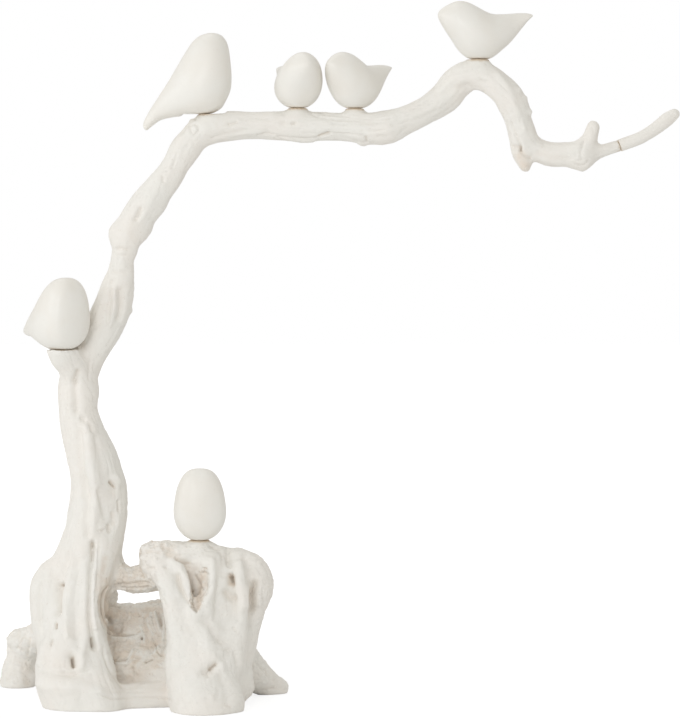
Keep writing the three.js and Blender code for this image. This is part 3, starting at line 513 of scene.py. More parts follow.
# How crumbly the surface of a limb or hollow is, where it isn't plain worn driftwood
CRUMBLY = {
    "lintel": 1.0, "stump_left_hump": 1.0, "back_wall": 0.9, "alcove_floor": 0.9, "back_mass": 0.7,
    "right_strand": 0.4, "alcove_jamb": 0.35, "left_column": 0.3, "stump_crown": 0.5,
    "stump_right_hump": 0.35, "under_fill": 0.5, "back_left_root": 0.6, "back_left_foot": 0.5,
    "back_right_foot": 0.5,
}
CRUMBLY_HOLLOWS = {"stump_teardrop": 0.75, "alcove_recess": 1.2, "alcove_back": 0.9}
CRUMBLY_HOLLOW_FADE = (0.8, 3.0)
PLAIN_CRUMBS = 0.08

# Brown wash and painted shade in the creases of crumbly wood, and how crumbly it must be to have some and to
# have it all
CREASE_WASH_AND_SHADE, CREASE_WASH_CRUMBLY = 0.34, (0.4, 1.0)

# Layers of driftwood grain: height, size of the bumps (along the limb and twice across it) and seed; depth
# of its creases, and their size, seed and width; how near a limb has its grain, and how soon it fades there
GRAIN = ((0.55, (38, 6.5, 6.5), 0), (0.2, (17, 3.4, 3.4), 11), (0.35, (13, 9, 9), 23))
GRAIN_CREASE_DEPTH, GRAIN_CREASE = 0.35, ((30, 4.2, 4.2), 37, 0.1)
GRAIN_REACH, GRAIN_FADE, TIP_GRAIN = 6.0, 1.2, 0.5

# Crumbly wood: size and seed of large, small and tiny bumps; size, seed and width of wide and thin creases;
# how many steps the large bumps rise in; heights of large bumps, steps, small and tiny bumps and both creases
CRUMB_BUMPS = (((7.5, 7.5, 6.0), 91), ((3.0, 3.0, 2.6), 97), (1.7, 109))
CRUMB_CREASES = (((4.6, 4.6, 4.0), 103, 0.13), ((2.6, 2.6, 2.3), 113, 0.16))
CRUMB_STEPS, THIN_CREASE_SHARE = 2.5, 0.7
CRUMB_HEIGHTS = (0.45, 0.5, 0.55, 0.28, -0.8, -0.45)

# Front surface that is more crumbly than this, or has a fine mark deeper than this, keeps all its triangles.
# The rest of the front is thinned less than the back.
DETAIL_FACING, DETAIL_CRUMBLY, DETAIL_DEPTH = 0.3, 0.72, 0.75
FRONT_FREEDOM, FREEDOM_FACTOR = 0.5, 6e-6
BRANCH_TRIANGLES = 196000

# Width below which a mark counts as fine, whose brown also paints shade into it, the share of its brown that
# goes to the wash, how pale a raised edge is rubbed, and the height from which it is rubbed as pale as that
FINE_WIDTH, FINE_WASH, RUBBED_PALE, FULLY_RUBBED = 2.0, 0.7, 0.75, 1.2

# What the driftwood's material reads from its points, besides the stain at seats and seam
WOOD_ATTRIBUTES = ("recess", "wash_and_shade", "shade", "crumbly")

# The last piece of the thin twig, beyond its seam
TWIG_TIP = [
    (186, 1, 365.6, 3.9), (200, 1, 371, 4), (210, 2, 377.2, 4.1), (217.5, 3, 383, 4.5),
    (222, 3, 386.4, 3.6),
]

# Bird moulds seen from the side: (distance along X, top, bottom, half width), the beak towards +X,
# the seat at the origin
BIRD_MOULDS = {
    "tail_up": {
        "wide_low": 0.06, "crown": 2.0,
        "stations": [
            (27.2, 27.6, 27.6, 0.3), (26.4, 30, 25.4, 2.6), (24.6, 31.8, 22, 5), (21.4, 33.9, 17.2, 8),
            (17, 36, 11, 11.4), (12.8, 36.9, 5.1, 13.4), (7.5, 36, 0.8, 15), (2, 33.4, -0.6, 15.6),
            (-3.5, 30.6, -0.5, 15.2), (-8.5, 28.9, 1.2, 14), (-14.5, 28.8, 5.8, 11.8),
            (-20.5, 29.2, 11.2, 9), (-26, 29.6, 17.8, 7.2), (-30.5, 29.6, 23.4, 6.3), (-33, 29.2, 26, 5.5),
            (-33.9, 28.8, 26.9, 4.8),
        ],
    },
    "upright": {
        "wide_low": 0.18, "crown": 2.8,
        "stations": [
            (17.6, 24, 24, 0.3), (17.1, 31, 16, 4.6), (15.6, 38.5, 9, 9.6), (12.6, 44.2, 3.2, 14),
            (7.6, 47, 0.4, 16.4), (2, 47, -0.8, 17), (-3.5, 44.4, -0.7, 16.8), (-9, 39.2, 0.4, 15.7),
            (-15, 32.8, 3, 13.4), (-21, 27.2, 5.6, 10.7), (-27, 22, 7.7, 7.6), (-32, 17.2, 8.2, 5),
            (-35, 14.2, 9.6, 3), (-36.2, 12, 11.2, 0.6),
        ],
    },
}

# The tall mould leans along its own axis: (distance from the tail's tip, belly side, back side, half width)
TALL_MOULD = {
    "wide_low": 0.1, "crown": 2.0, "tail": (-41.2, -10.6), "lean": math.radians(50.7), "flat_from": -18.0,
    "stations": [
        (0, -0.2, -0.6, 0.4), (0.6, 0.7, -2.2, 1.8), (2.4, 1.2, -3.8, 3.1), (6, 2, -5, 4.4),
        (11.3, 3.6, -6, 5.9), (17, 7.8, -6.7, 8), (23, 13.6, -7.3, 10.9), (29, 20.2, -8, 13.8),
        (35, 26, -8.7, 16.2), (42, 29.2, -9.8, 17.9), (49, 28.4, -10.9, 18.5), (56, 26.2, -11.9, 18.2),
        (63, 21.2, -12.6, 16.9), (69.5, 15, -11.6, 14.4), (75, 9.2, -8.2, 10.2), (78.2, 4.6, -4, 5.6),
        (79.4, 0.2, -0.2, 0.4),
    ],
}

# Where each bird sits, its mould, the way its beak points (degrees from +X about the vertical) and its scale
BIRDS = {
    "bird_large": ("tall", (-82.6, -1, 386.3), 0, 1.0),
    "bird_middle_left": ("tail_up", (-24.3, 1, 390.2), -73, 0.975),
    "bird_middle_right": ("tail_up", (12.9, 0, 390), -129, 0.985),
    "bird_crest": ("tail_up", (94.2, -1, 421.9), 192, 1.025),
    "bird_perch": ("upright", (-178.4, -13, 232.7), -45, 0.993),
    "bird_stump": ("upright", (-88.6, -3, 107.5), -88, 1.0),
}

# Points round a bird, curve steps between its stations, how softly its flat underside begins, how far it is
# lifted off its seat, and the stain on its underside, which fades out with height and radius
BIRD_SIDES, BIRD_STEPS, BIRD_ROUND, BIRD_LIFT = 72, 6, 1.0, 0.05
BIRD_STAIN_HEIGHT, BIRD_STAIN_RADIUS = (0.2, 1.0), (7, 10)

# Colours of the resin, and of its hollows, pits and seams: brown stain, and painted shade in hollows, creases
# and pits
RESIN_COOL, RESIN_WARM, RESIN_PALE = (0.82, 0.805, 0.76, 1), (0.83, 0.80, 0.75, 1), (0.86, 0.845, 0.81, 1)
# Brown in hollows, by how deep they lie: partly brown where the paint is thin, partly painted shade
RECESS_BROWN_AND_SHADE, CRUMB_BROWN = (0.68, 0.56, 0.45, 1), (0.72, 0.62, 0.51, 1)
# Brown wash of marks and creases, partly painted shade; its dark end and the pit colour paint shade into deep
# pits and fine marks
WASH_BROWN_AND_SHADE, DARK_WASH_AND_SHADE = (0.70, 0.595, 0.49, 1), (0.33, 0.27, 0.21, 1)
PIT_SHADE, SPECK_BROWN, SEAT_BROWN = (0.33, 0.285, 0.23, 1), (0.5, 0.41, 0.32, 1), (0.58, 0.45, 0.30, 1)
BIRD_COOL, BIRD_WARM, BIRD_SCUFF = (0.83, 0.815, 0.77, 1), (0.82, 0.795, 0.74, 1), (0.66, 0.62, 0.55, 1)
BIRD_SEAT_BROWN = (0.60, 0.47, 0.32, 1)

# Studio: each lamp's place and power, what they all share, the sky, and the floor with the glow that brings
# it up to white away from the object
LAMPS = {
    "left_light": ((-2.35, -0.9, 1.1), 9), "front_light": ((-0.9, -2.45, 0.95), 14.5),
    "back_light": ((-0.5, 1.2, 2.4), 5),
}
LAMP_TARGET, LAMP_SIZE, LAMP_COLOUR = (-0.02, 0, 0.22), 1.2, (0.97, 0.985, 1.03)
SKY_COLOUR, SKY_STRENGTH, WHITE = (1, 0.985, 0.945, 1), 0.715, (1, 1, 1, 1)
FLOOR_HALF, FLOOR_COLOUR = 6.0, (0.93, 0.93, 0.93, 1)
GLOW_STRENGTH, GLOW_NEAR, GLOW_FAR, GLOW_LEAST = 1.15, 0.2, 0.45, 0.7


def thread(rows, steps):
    """Runs a smooth curve through a row of values and returns it closely spaced."""
    rows = np.array(rows, float)
    before = rows[np.maximum(np.arange(len(rows) - 1) - 1, 0)]
    start, end = rows[:-1], rows[1:]
    after = rows[np.minimum(np.arange(len(rows) - 1) + 2, len(rows) - 1)]
    t = (np.arange(steps) / steps)[None, :, None]
    before, start, end, after = (a[:, None, :] for a in (before, start, end, after))
    dense = 0.5 * (2 * start + (end - before) * t
                   + (2 * before - 5 * start + 4 * end - after) * t ** 2
                   + (3 * start - before - 3 * end + after) * t ** 3)
    return np.vstack([dense.reshape(-1, rows.shape[1]), rows[-1:]])


def ramp(values, low, high):
    """A smooth step from 0 at the low value to 1 at the high one."""
    t = np.clip((values - low) / (high - low), 0, 1)
    return t * t * (3 - 2 * t)


def smooth_minimum(a, b, blend):
    """The smaller of two values, rounded off where they differ by less than the blend."""
    overlap = np.clip(blend - np.abs(a - b), 0, None) / blend
    return np.minimum(a, b) - overlap * overlap * blend / 4


def ball_box(balls, margin):
    """Low and high corners of the box round a row of balls."""
    return (balls[:, :3] - balls[:, 3:]).min(0) - margin, (balls[:, :3] + balls[:, 3:]).max(0) + margin


class Field:
    """A box of samples of the distance to the surface, negative inside the wood."""

    def __init__(self, box, cell):
        self.origin = np.array(box[0])
        self.cell = cell
        self.counts = np.ceil((np.array(box[1]) - self.origin) / cell).astype(int) + 1
        self.values = np.full(self.counts, OUTSIDE, np.float32)

    def axis(self, which, low, high):
        """The samples along one axis between two places, as a slice and their coordinates."""
        first = max(int(math.ceil((low - self.origin[which]) / self.cell)), 0)
        last = min(int(math.floor((high - self.origin[which]) / self.cell)), self.counts[which] - 1)
        places = self.origin[which] + self.cell * np.arange(first, last + 1)
        return slice(first, max(last + 1, first)), places.astype(np.float32)

    def limb(self, balls, reach):
        """The distance to one limb at the samples near it."""
        dense = thread(balls, STEPS_PER_SPAN)
        low, high = ball_box(dense, reach)
        block = tuple(self.axis(k, low[k], high[k])[0] for k in range(3))
        near = np.full([s.stop - s.start for s in block], OUTSIDE, np.float32)
        for a, b in zip(dense[:-1], dense[1:]):
            margin = max(a[3], b[3]) + reach
            first, last = np.minimum(a, b) - margin, np.maximum(a, b) + margin
            spans = [self.axis(k, max(first[k], low[k]), min(last[k], high[k])) for k in range(3)]
            edge = (b - a)[:3]
            x, y, z = (spans[k][1].reshape([-1 if j == k else 1 for j in range(3)]) - a[k] for k in range(3))
            along = np.clip((x * edge[0] + y * edge[1] + z * edge[2]) / (edge @ edge), 0, 1)
            x, y, z = x - along * edge[0], y - along * edge[1], z - along * edge[2]
            away = np.sqrt(x ** 2 + y ** 2 + z ** 2)
            inner = tuple(slice(spans[k][0].start - block[k].start, spans[k][0].stop - block[k].start)
                          for k in range(3))
            near[inner] = np.minimum(near[inner], away - (a[3] + along * (b[3] - a[3])))
        return block, near

    def add(self, balls):
        block, near = self.limb(balls, REACH)
        self.values[block] = smooth_minimum(self.values[block], near, LIMB_BLEND)

    def carve(self, balls):
        block, near = self.limb(balls, CARVE_BLEND + 2 * self.cell)
        self.values[block] = -smooth_minimum(-self.values[block], near, CARVE_BLEND)

    def clear_seat(self, seat):
        """Takes away the wood in an upright drum above a seat."""
        margin = 2
        low = np.array([seat[0] - SEAT_CLEARANCE, seat[1] - SEAT_CLEARANCE, seat[2]]) - margin
        high = np.array(seat) + SEAT_CLEARANCE + margin
        spans = [self.axis(k, low[k], high[k]) for k in range(3)]
        x, y, z = np.meshgrid(*(s[1] for s in spans), indexing="ij")
        round_side = np.hypot(x - seat[0], y - seat[1]) - SEAT_CLEARANCE
        drum = np.maximum(np.maximum(round_side, seat[2] - z), z - seat[2] - SEAT_CLEARANCE)
        block = tuple(s[0] for s in spans)
        self.values[block] = np.maximum(self.values[block], -drum)

    def cut_below(self, point, direction):
        """Keeps only the wood on the side of a plane that the direction points to."""
        x, y, z = (self.origin[k] + self.cell * np.arange(self.counts[k]) for k in range(3))
        height = ((x[:, None, None] - point[0]) * direction[0] + (y[None, :, None] - point[1]) * direction[1]
                  + (z[None, None, :] - point[2]) * direction[2])
        np.maximum(self.values, -height.astype(np.float32), out=self.values)

    def read(self, points):
        """The distance at any points, by the samples around each of them."""
        place = (points - self.origin) / self.cell
        base = np.clip(np.floor(place).astype(int), 0, self.counts - 2)
        part = np.clip(place - base, 0, 1)
        total = np.zeros(len(points))
        for corner in itertools.product((0, 1), repeat=3):
            weight = np.prod(np.where(corner, part, 1 - part), axis=1)
            total += weight * self.values[tuple((base + corner).T)]
        return total

    def normals(self, points, step):
        """Directions out of the wood at any points, from readings a step away on either side."""
        slopes = [self.read(points + step * axis) - self.read(points - step * axis) for axis in np.eye(3)]
        slopes = np.array(slopes).T
        return slopes / np.maximum(np.linalg.norm(slopes, axis=1, keepdims=True), 1e-9)

    def skin(self):
        """A closed mesh of quads round the wood: one vertex in each cell that the surface passes through."""
        inside = self.values < 0
        corners = list(itertools.product((0, 1), repeat=3))
        total = sum(inside[tuple(slice(c, n - 1 + c) for c, n in zip(corner, self.counts))].astype(np.uint8)
                    for corner in corners)
        mixed = (total > 0) & (total < 8)
        cells = np.argwhere(mixed)
        numbers = np.flatnonzero(mixed)
        crossings = np.zeros((len(cells), 3))
        count = np.zeros((len(cells), 1))
        for corner in corners:
            for k in range(3):
                if corner[k]:
                    continue
                start, end = np.array(corner), np.array(corner) + np.eye(3, dtype=int)[k]
                v0 = self.values[tuple((cells + start).T)]
                v1 = self.values[tuple((cells + end).T)]
                crosses = (v0 < 0) != (v1 < 0)
                t = np.where(crosses, v0 / np.where(crosses, v0 - v1, 1), 0)
                crossings += np.where(crosses[:, None], start + t[:, None] * (end - start), 0)
                count += crosses[:, None]
        points = self.origin + self.cell * (cells + crossings / count)
        faces = []
        strides = np.array([mixed.shape[1] * mixed.shape[2], mixed.shape[2], 1])
        for k in range(3):
            step_i, step_j = strides[(k + 1) % 3], strides[(k + 2) % 3]
            lower, upper = [slice(None)] * 3, [slice(None)] * 3
            lower[k], upper[k] = slice(None, -1), slice(1, None)
            first, second = inside[tuple(lower)], inside[tuple(upper)]
            edges = np.argwhere(first != second)
            entering = second[tuple(edges.T)]
            home = edges @ strides
            ring = np.stack([home - step_i - step_j, home - step_j, home, home - step_i], axis=1)
            quads = np.searchsorted(numbers, ring)
            quads[entering] = quads[entering][:, ::-1]
            faces.append(quads)
        return points, np.vstack(faces)


def wood_field(box, cell, limbs, hollows, seats):
    """The wood of some limbs with a boss under each seat, less the hollows and the air above each seat."""
    field = Field(box, cell)
    for balls in limbs:
        field.add(balls)
    for x, y, z in seats:
        field.add([(x, y, z - SEAT_BOSS_DEPTH, SEAT_RADIUS), (x, y, z - SEAT_BOSS_TOP, SEAT_RADIUS)])
    for balls in hollows:
        field.carve(balls)
    for seat in seats:
        field.clear_seat(seat)
    return field


RANDOM = np.random.default_rng(7)
DIRECTIONS = RANDOM.normal(size=(256, 3))
DIRECTIONS /= np.linalg.norm(DIRECTIONS, axis=1, keepdims=True)
SHUFFLE = RANDOM.permutation(256)


def smooth_noise(points, seed):
    """Even noise of about -1 to 1, with bumps about one unit apart."""
    base = np.floor(points).astype(int)
    part = points - base
    fade = part ** 3 * (part * (part * 6 - 15) + 10)
    total = np.zeros(len(points))
    for corner in itertools.product((0, 1), repeat=3):
        x, y, z = ((base + corner) & 255).T
        pick = SHUFFLE[(SHUFFLE[(SHUFFLE[(x + seed) & 255] + y) & 255] + z) & 255]
        weight = np.prod(np.where(corner, fade, 1 - fade), axis=1)
        total += weight * np.einsum("ij,ij->i", DIRECTIONS[pick], part - corner)
    return total * 1.7


def cuts(points, size, seed, width):
    """Narrow creases where noise of some bump size crosses zero: 1 along their middle and 0 beside them."""
    return np.clip(1 - np.abs(smooth_noise(points / size, seed)) / width, 0, 1)


def limb_frames(balls):
    """The closely spaced balls of a limb, how far along it each lies, and two directions across it."""
    dense = thread(balls, STEPS_PER_SPAN)
    steps = np.diff(dense[:, :3], axis=0)
    lengths = np.linalg.norm(steps, axis=1)
    along = np.concatenate([[0], np.cumsum(lengths)])
    tangents = steps / lengths[:, None]
    side = np.array([0.0, 1.0, 0.0]) if abs(tangents[0][1]) < 0.8 else np.array([1.0, 0.0, 0.0])
    sides = []
    for tangent in tangents:
        side = side - tangent * (side @ tangent)
        side = side / np.linalg.norm(side)
        sides.append(side)
    sides = np.array(sides)
    return dense, along, tangents, sides, np.cross(tangents, sides)


def near_limb(points, balls, reach):
    """For the points near a limb: which they are, their distance from its surface, and their place
    in it as (distance along, two distances across)."""
    dense, along, tangents, sides, others = limb_frames(balls)
    low, high = ball_box(dense, reach)
    chosen = np.flatnonzero(np.all((points > low) & (points < high), axis=1))
    best = np.full(len(chosen), OUTSIDE)
    place = np.zeros((len(chosen), 3))
    near = points[chosen]
    for i, tangent in enumerate(tangents):
        offset = near - dense[i, :3]
        length = along[i + 1] - along[i]
        run = offset @ tangent
        t = np.clip(run / length, 0, 1)
        away = np.linalg.norm(offset - (t * length)[:, None] * tangent, axis=1)
        distance = away - (dense[i, 3] + t * (dense[i + 1, 3] - dense[i, 3]))
        closer = distance < best
        best[closer] = distance[closer]
        place[closer] = np.stack([along[i] + run, offset @ sides[i], offset @ others[i]], axis=1)[closer]
    keep = best < reach
    return chosen[keep], best[keep], place[keep]


def grain(place, seed):
    """Height of the driftwood grain: long flutes and finer creases that run along the limb."""
    bumps = sum(height * smooth_noise(place / size, seed + offset) for height, size, offset in GRAIN)
    size, offset, width = GRAIN_CREASE
    return bumps - GRAIN_CREASE_DEPTH * cuts(place, size, seed + offset, width)


def grain_relief(points, limbs):
    """Grain of all limbs, each near its own surface, faded into its neighbours', and how crumbly it is."""
    total = np.zeros(len(points))
    crumbly = np.zeros(len(points))
    weights = np.full(len(points), 1e-9)
    for seed, (name, balls) in enumerate(limbs.items()):
        chosen, distance, place = near_limb(points, balls, GRAIN_REACH)
        weight = np.exp(-distance / GRAIN_FADE)
        total[chosen] += weight * grain(place, 3 * seed)
        crumbly[chosen] += weight * CRUMBLY.get(name, PLAIN_CRUMBS)
        weights[chosen] += weight
    crumbly /= weights
    for name, strength in CRUMBLY_HOLLOWS.items():
        chosen, distance, _ = near_limb(points, HOLLOWS[name], CRUMBLY_HOLLOW_FADE[1])
        crumbly[chosen] = np.maximum(crumbly[chosen], strength * (1 - ramp(distance, *CRUMBLY_HOLLOW_FADE)))
    return total / weights, crumbly


def crumbs(points):
    """Height of broken, flaky wood, and its creases from 0 to 1: plates with steps between them, crumbs on
    the plates and creases of two sizes."""
    large, small, tiny = (smooth_noise(points / size, seed) for size, seed in CRUMB_BUMPS)
    steps = np.round(large * CRUMB_STEPS) / CRUMB_STEPS
    wide, thin = (cuts(points, *crease) for crease in CRUMB_CREASES)
    layers = (large, steps, small, tiny, wide, thin)
    height = sum(share * layer for share, layer in zip(CRUMB_HEIGHTS, layers))
    return height, np.maximum(wide, THIN_CREASE_SHARE * thin)


def sight_hits(field, pixels):
    """Where the lines of sight through pixels of the photograph first meet the wood, or just pass it."""
    u, v = np.array(pixels, float).T
    tilt = math.radians(CAMERA_TILT)
    cos, sin = math.cos(tilt), math.sin(tilt)
    right, up = (u - PHOTO_WIDTH / 2) / FOCAL_PIXELS, (PHOTO_HEIGHT / 2 - v) / FOCAL_PIXELS
    lines = np.stack([right, cos + up * sin, -sin + up * cos], axis=1)
    depths = np.arange(SIGHT_START, SIGHT_END, SIGHT_STEP) - CAMERA_PLACE[1]
    places = np.array(CAMERA_PLACE) + depths[None, :, None] * (lines / lines[:, 1:2])[:, None, :]
    values = field.read(places.reshape(-1, 3)).reshape(len(lines), -1)
    inside = values < 0
    meets = inside.any(1)
    first = np.where(meets, inside.argmax(1), values.argmin(1))
    rows = np.arange(len(lines))
    before = values[rows, np.maximum(first - 1, 0)]
    back = np.where(meets, values[rows, first] / np.minimum(values[rows, first] - before, -1e-6), 0)
    hits = places[rows, first] - (back * SIGHT_STEP)[:, None] * lines / lines[:, 1:2]
    return hits[meets | (values[rows, first] < SIGHT_MISS)]


def placed_marks(field):
    """The marks as closely spaced places on the wood: (width, depth, brown, places)."""
    placed = []
    for width, depth, brown, path in itertools.chain.from_iterable(MARKS.values()):
        pixels = np.array(path, float).reshape(-1, 2)
        if len(pixels) > 1:
            longest = np.linalg.norm(np.diff(pixels, axis=0), axis=1).max()
            pixels = thread(pixels, int(math.ceil(longest / MARK_SPACING)))
        hits = sight_hits(field, pixels)
        if len(hits):
            placed.append((width, depth, brown, hits))
    return placed


def mark_relief(points, marks):
    """The height of all marks at the points, the brown wash with painted shade and the painted shade of pits,
    both from 0 to 1, the depth of the fine marks, and how far raised edges are rubbed pale."""
    height, wash_and_shade, shade, fine, rubbed = np.zeros((5, len(points)))
    for width, depth, brown, hits in marks:
        low, high = hits.min(0) - 3 * width, hits.max(0) + 3 * width
        chosen = np.flatnonzero(np.all((points > low) & (points < high), axis=1))
        nearest = np.full(len(chosen), np.inf)
        for hit in hits:
            nearest = np.minimum(nearest, np.sum((points[chosen] - hit) ** 2, axis=1))
        fade = np.exp(-nearest / width ** 2)
        height[chosen] -= depth * fade
        if width < FINE_WIDTH:
            wash_and_shade[chosen] = np.maximum(wash_and_shade[chosen], FINE_WASH * brown * fade)
            shade[chosen] = np.maximum(shade[chosen], brown * fade)
            fine[chosen] = np.maximum(fine[chosen], abs(depth) * fade)
        else:
            wash_and_shade[chosen] = np.maximum(wash_and_shade[chosen], brown * fade)
        if depth < 0:
            rubbed[chosen] = np.maximum(rubbed[chosen], min(1, -depth / FULLY_RUBBED) * fade)
    return height, wash_and_shade, shade, fine, rubbed


def hidden_marks(points, normals, random):
    """Pits and short scars on the sides that the photograph doesn't show, at random places."""
    hidden = np.flatnonzero((normals[:, 1] > HIDDEN_FACING) & (points[:, 2] > HIDDEN_LOWEST))
    marks = []
    for index in random.choice(hidden, HIDDEN_MARKS, replace=False):
        width = random.uniform(*HIDDEN_WIDTHS)
        length = random.uniform(*HIDDEN_LENGTHS)
        lean = random.normal(size=3) * HIDDEN_LEAN
        lean -= normals[index] * (lean @ normals[index])
        lean /= np.linalg.norm(lean)
        places = points[index] + np.arange(0, length + 0.1, HIDDEN_SPACING)[:, None] * lean
        marks.append((width, random.uniform(*HIDDEN_DEPTHS), random.uniform(*HIDDEN_BROWNS), places))
    return marks


def carry_over(values, old_points, new_points):
    """Values at new points, each taken from the nearest old point."""
    tree = kdtree.KDTree(len(old_points))
    for index, point in enumerate(old_points):
        tree.insert(point, index)
    tree.balance()
    nearest = [tree.find(point)[1] for point in new_points]
    return [value[nearest] for value in values]


def make_object(name, points, faces):
    """A smooth-shaded mesh object from points in list millimetres and a list of faces."""
    mesh = bpy.data.meshes.new(name)
    mesh.from_pydata(((points + LIST_TO_ROW) * MM).tolist(), [], faces)
    mesh.polygons.foreach_set("use_smooth", np.ones(len(mesh.polygons), bool))
    mesh.update()
    piece = bpy.data.objects.new(name, mesh)
    bpy.context.scene.collection.objects.link(piece)
    return piece


def apply_modifiers(piece):
    graph = bpy.context.evaluated_depsgraph_get()
    mesh = bpy.data.meshes.new_from_object(piece.evaluated_get(graph))
    piece.modifiers.clear()
    old = piece.data
    piece.data = mesh
    bpy.data.meshes.remove(old)


def thin_out(piece, triangles, freedom):
    """Brings a mesh down to a number of triangles, fewest where it is smoothest, and fewer the more freedom
    a point has: where it has none, all are kept."""
    triangulate = piece.modifiers.new("Triangulate", "TRIANGULATE")
    triangulate.quad_method = "SHORTEST_DIAGONAL"
    apply_modifiers(piece)
    count = len(piece.data.polygons)
    if count > triangles:
        group = piece.vertex_groups.new(name="free")
        for value in np.unique(freedom):
            group.add(np.flatnonzero(freedom == value).tolist(), float(value), "REPLACE")
        decimate = piece.modifiers.new("Decimate", "DECIMATE")
        decimate.ratio = triangles / count
        decimate.vertex_group = group.name
        decimate.vertex_group_factor = FREEDOM_FACTOR
        apply_modifiers(piece)
        piece.vertex_groups.clear()


def list_points(piece):
    places = np.zeros(len(piece.data.vertices) * 3)
    piece.data.vertices.foreach_get("co", places)
    return places.reshape(-1, 3) / MM - LIST_TO_ROW


def store(piece, name, values):
    attribute = piece.data.attributes.new(name, "FLOAT", "POINT")
    attribute.data.foreach_set("value", np.asarray(values, np.float32))


def recess_of(field, points, normals):
    """How deep in a fold or hollow each point lies, from 0 in the open to 1 in a deep hole."""
    total = np.zeros(len(points))
    for height in RECESS_HEIGHTS:
        total += 1 - np.clip(field.read(points + normals * height) / height, 0, 1)
    return total / len(RECESS_HEIGHTS)


def at_seat(points, seat, heights):
    """1 on a bird's seat, and 0 beyond its edge and past two heights above or below it."""
    across = np.hypot(points[:, 0] - seat[0], points[:, 1] - seat[1])
    return (1 - ramp(across, *SEAT_EDGE)) * (1 - ramp(np.abs(points[:, 2] - seat[2]), *heights))


def seam_plane():
    """The middle of the thin twig's seam, and the direction across it towards the tip."""
    seam = np.array(TWIG_TIP[0][:3], float)
    away = np.array(TWIG_TIP[1][:3], float) - seam
    return seam, away / np.linalg.norm(away)


def seam_stain(points):
    """Brown tint of the dark seam in the thin twig."""
    seam, across = seam_plane()
    past = np.abs((points - seam) @ across)
    beside = np.linalg.norm(points - seam, axis=1)
    return SEAM_STAIN * (1 - ramp(past, *SEAM_ALONG)) * (1 - ramp(beside, *SEAM_AROUND))


def make_branch():
    """The whole branch and root base: limbs and hollows sampled finely, with relief along the surface."""
    seats = [seat for _, seat, _, _ in BIRDS.values()]
    field = wood_field(WOOD_BOX, CELL, LIMBS.values(), HOLLOWS.values(), seats)
    open_field = wood_field(WOOD_BOX, COARSE_CELL, LIMBS.values(), HOLLOWS.values(), [])
    field.cut_below((0, 0, 0), (0, 0, 1))
    seam, across = seam_plane()
    field.cut_below(seam - SEAM_GAP * across, -across)
    points, faces = field.skin()
    normals = field.normals(points, NORMAL_STEP)
    relief, crumbly = grain_relief(points, LIMBS)
    marks = placed_marks(field) + hidden_marks(points, normals, RANDOM)
    marked, wash_and_shade, shade, fine, rubbed = mark_relief(points, marks)
    broken, creases = crumbs(points)
    relief += crumbly * broken + marked
    # Brown wash and painted shade in the creases of crumbly wood
    wash_and_shade = np.maximum(wash_and_shade, CREASE_WASH_AND_SHADE * creases * ramp(crumbly, *CREASE_WASH_CRUMBLY))
    pale = 1 - RUBBED_PALE * rubbed
    seat_free = np.ones(len(points))
    for seat in seats:
        seat_free *= 1 - at_seat(points, seat, SEAT_PLAIN)
    ground_free = ramp(points[:, 2], *GROUND_PLAIN)
    moved = points + normals * (relief * seat_free * ground_free)[:, None]
    # How deep each point lies in a hollow; by it the material paints brown and shade there
    recess = recess_of(open_field, points, normals)
    piece = make_object("driftwood_branch", moved, faces.tolist())
    front = normals[:, 1] < DETAIL_FACING
    detailed = front & ((crumbly > DETAIL_CRUMBLY) | (fine > DETAIL_DEPTH))
    thin_out(piece, BRANCH_TRIANGLES, np.where(detailed, 0, np.where(front, FRONT_FREEDOM, 1)))
    final = list_points(piece)
    carried = carry_over((recess * pale, wash_and_shade * pale, shade, crumbly * pale), moved, final)
    for name, values in zip(WOOD_ATTRIBUTES, carried):
        store(piece, name, values)
    stain = seam_stain(final)
    for seat in seats:
        stain = np.maximum(stain, at_seat(final, seat, SEAT_STAIN))
    store(piece, "stain", stain)
    return piece


def make_twig_tip():
    field = wood_field(TIP_BOX, TIP_CELL, [TWIG_TIP], [], [])
    seam, across = seam_plane()
    field.cut_below(seam + SEAM_GAP * across, across)
    points, faces = field.skin()
    relief = grain_relief(points, {"twig_tip": TWIG_TIP})[0]
    points = points + field.normals(points, TIP_NORMAL_STEP) * TIP_GRAIN * relief[:, None]
    piece = make_object("driftwood_twig_tip", points, faces.tolist())
    for name in WOOD_ATTRIBUTES:
        store(piece, name, np.zeros(len(points)))
    store(piece, "stain", seam_stain(points))
    return piece


def smooth_floor(heights, blend):
    """Keeps heights at zero or above, with a small round at the edge of the flat."""
    return -smooth_minimum(-heights, np.zeros_like(heights), blend)


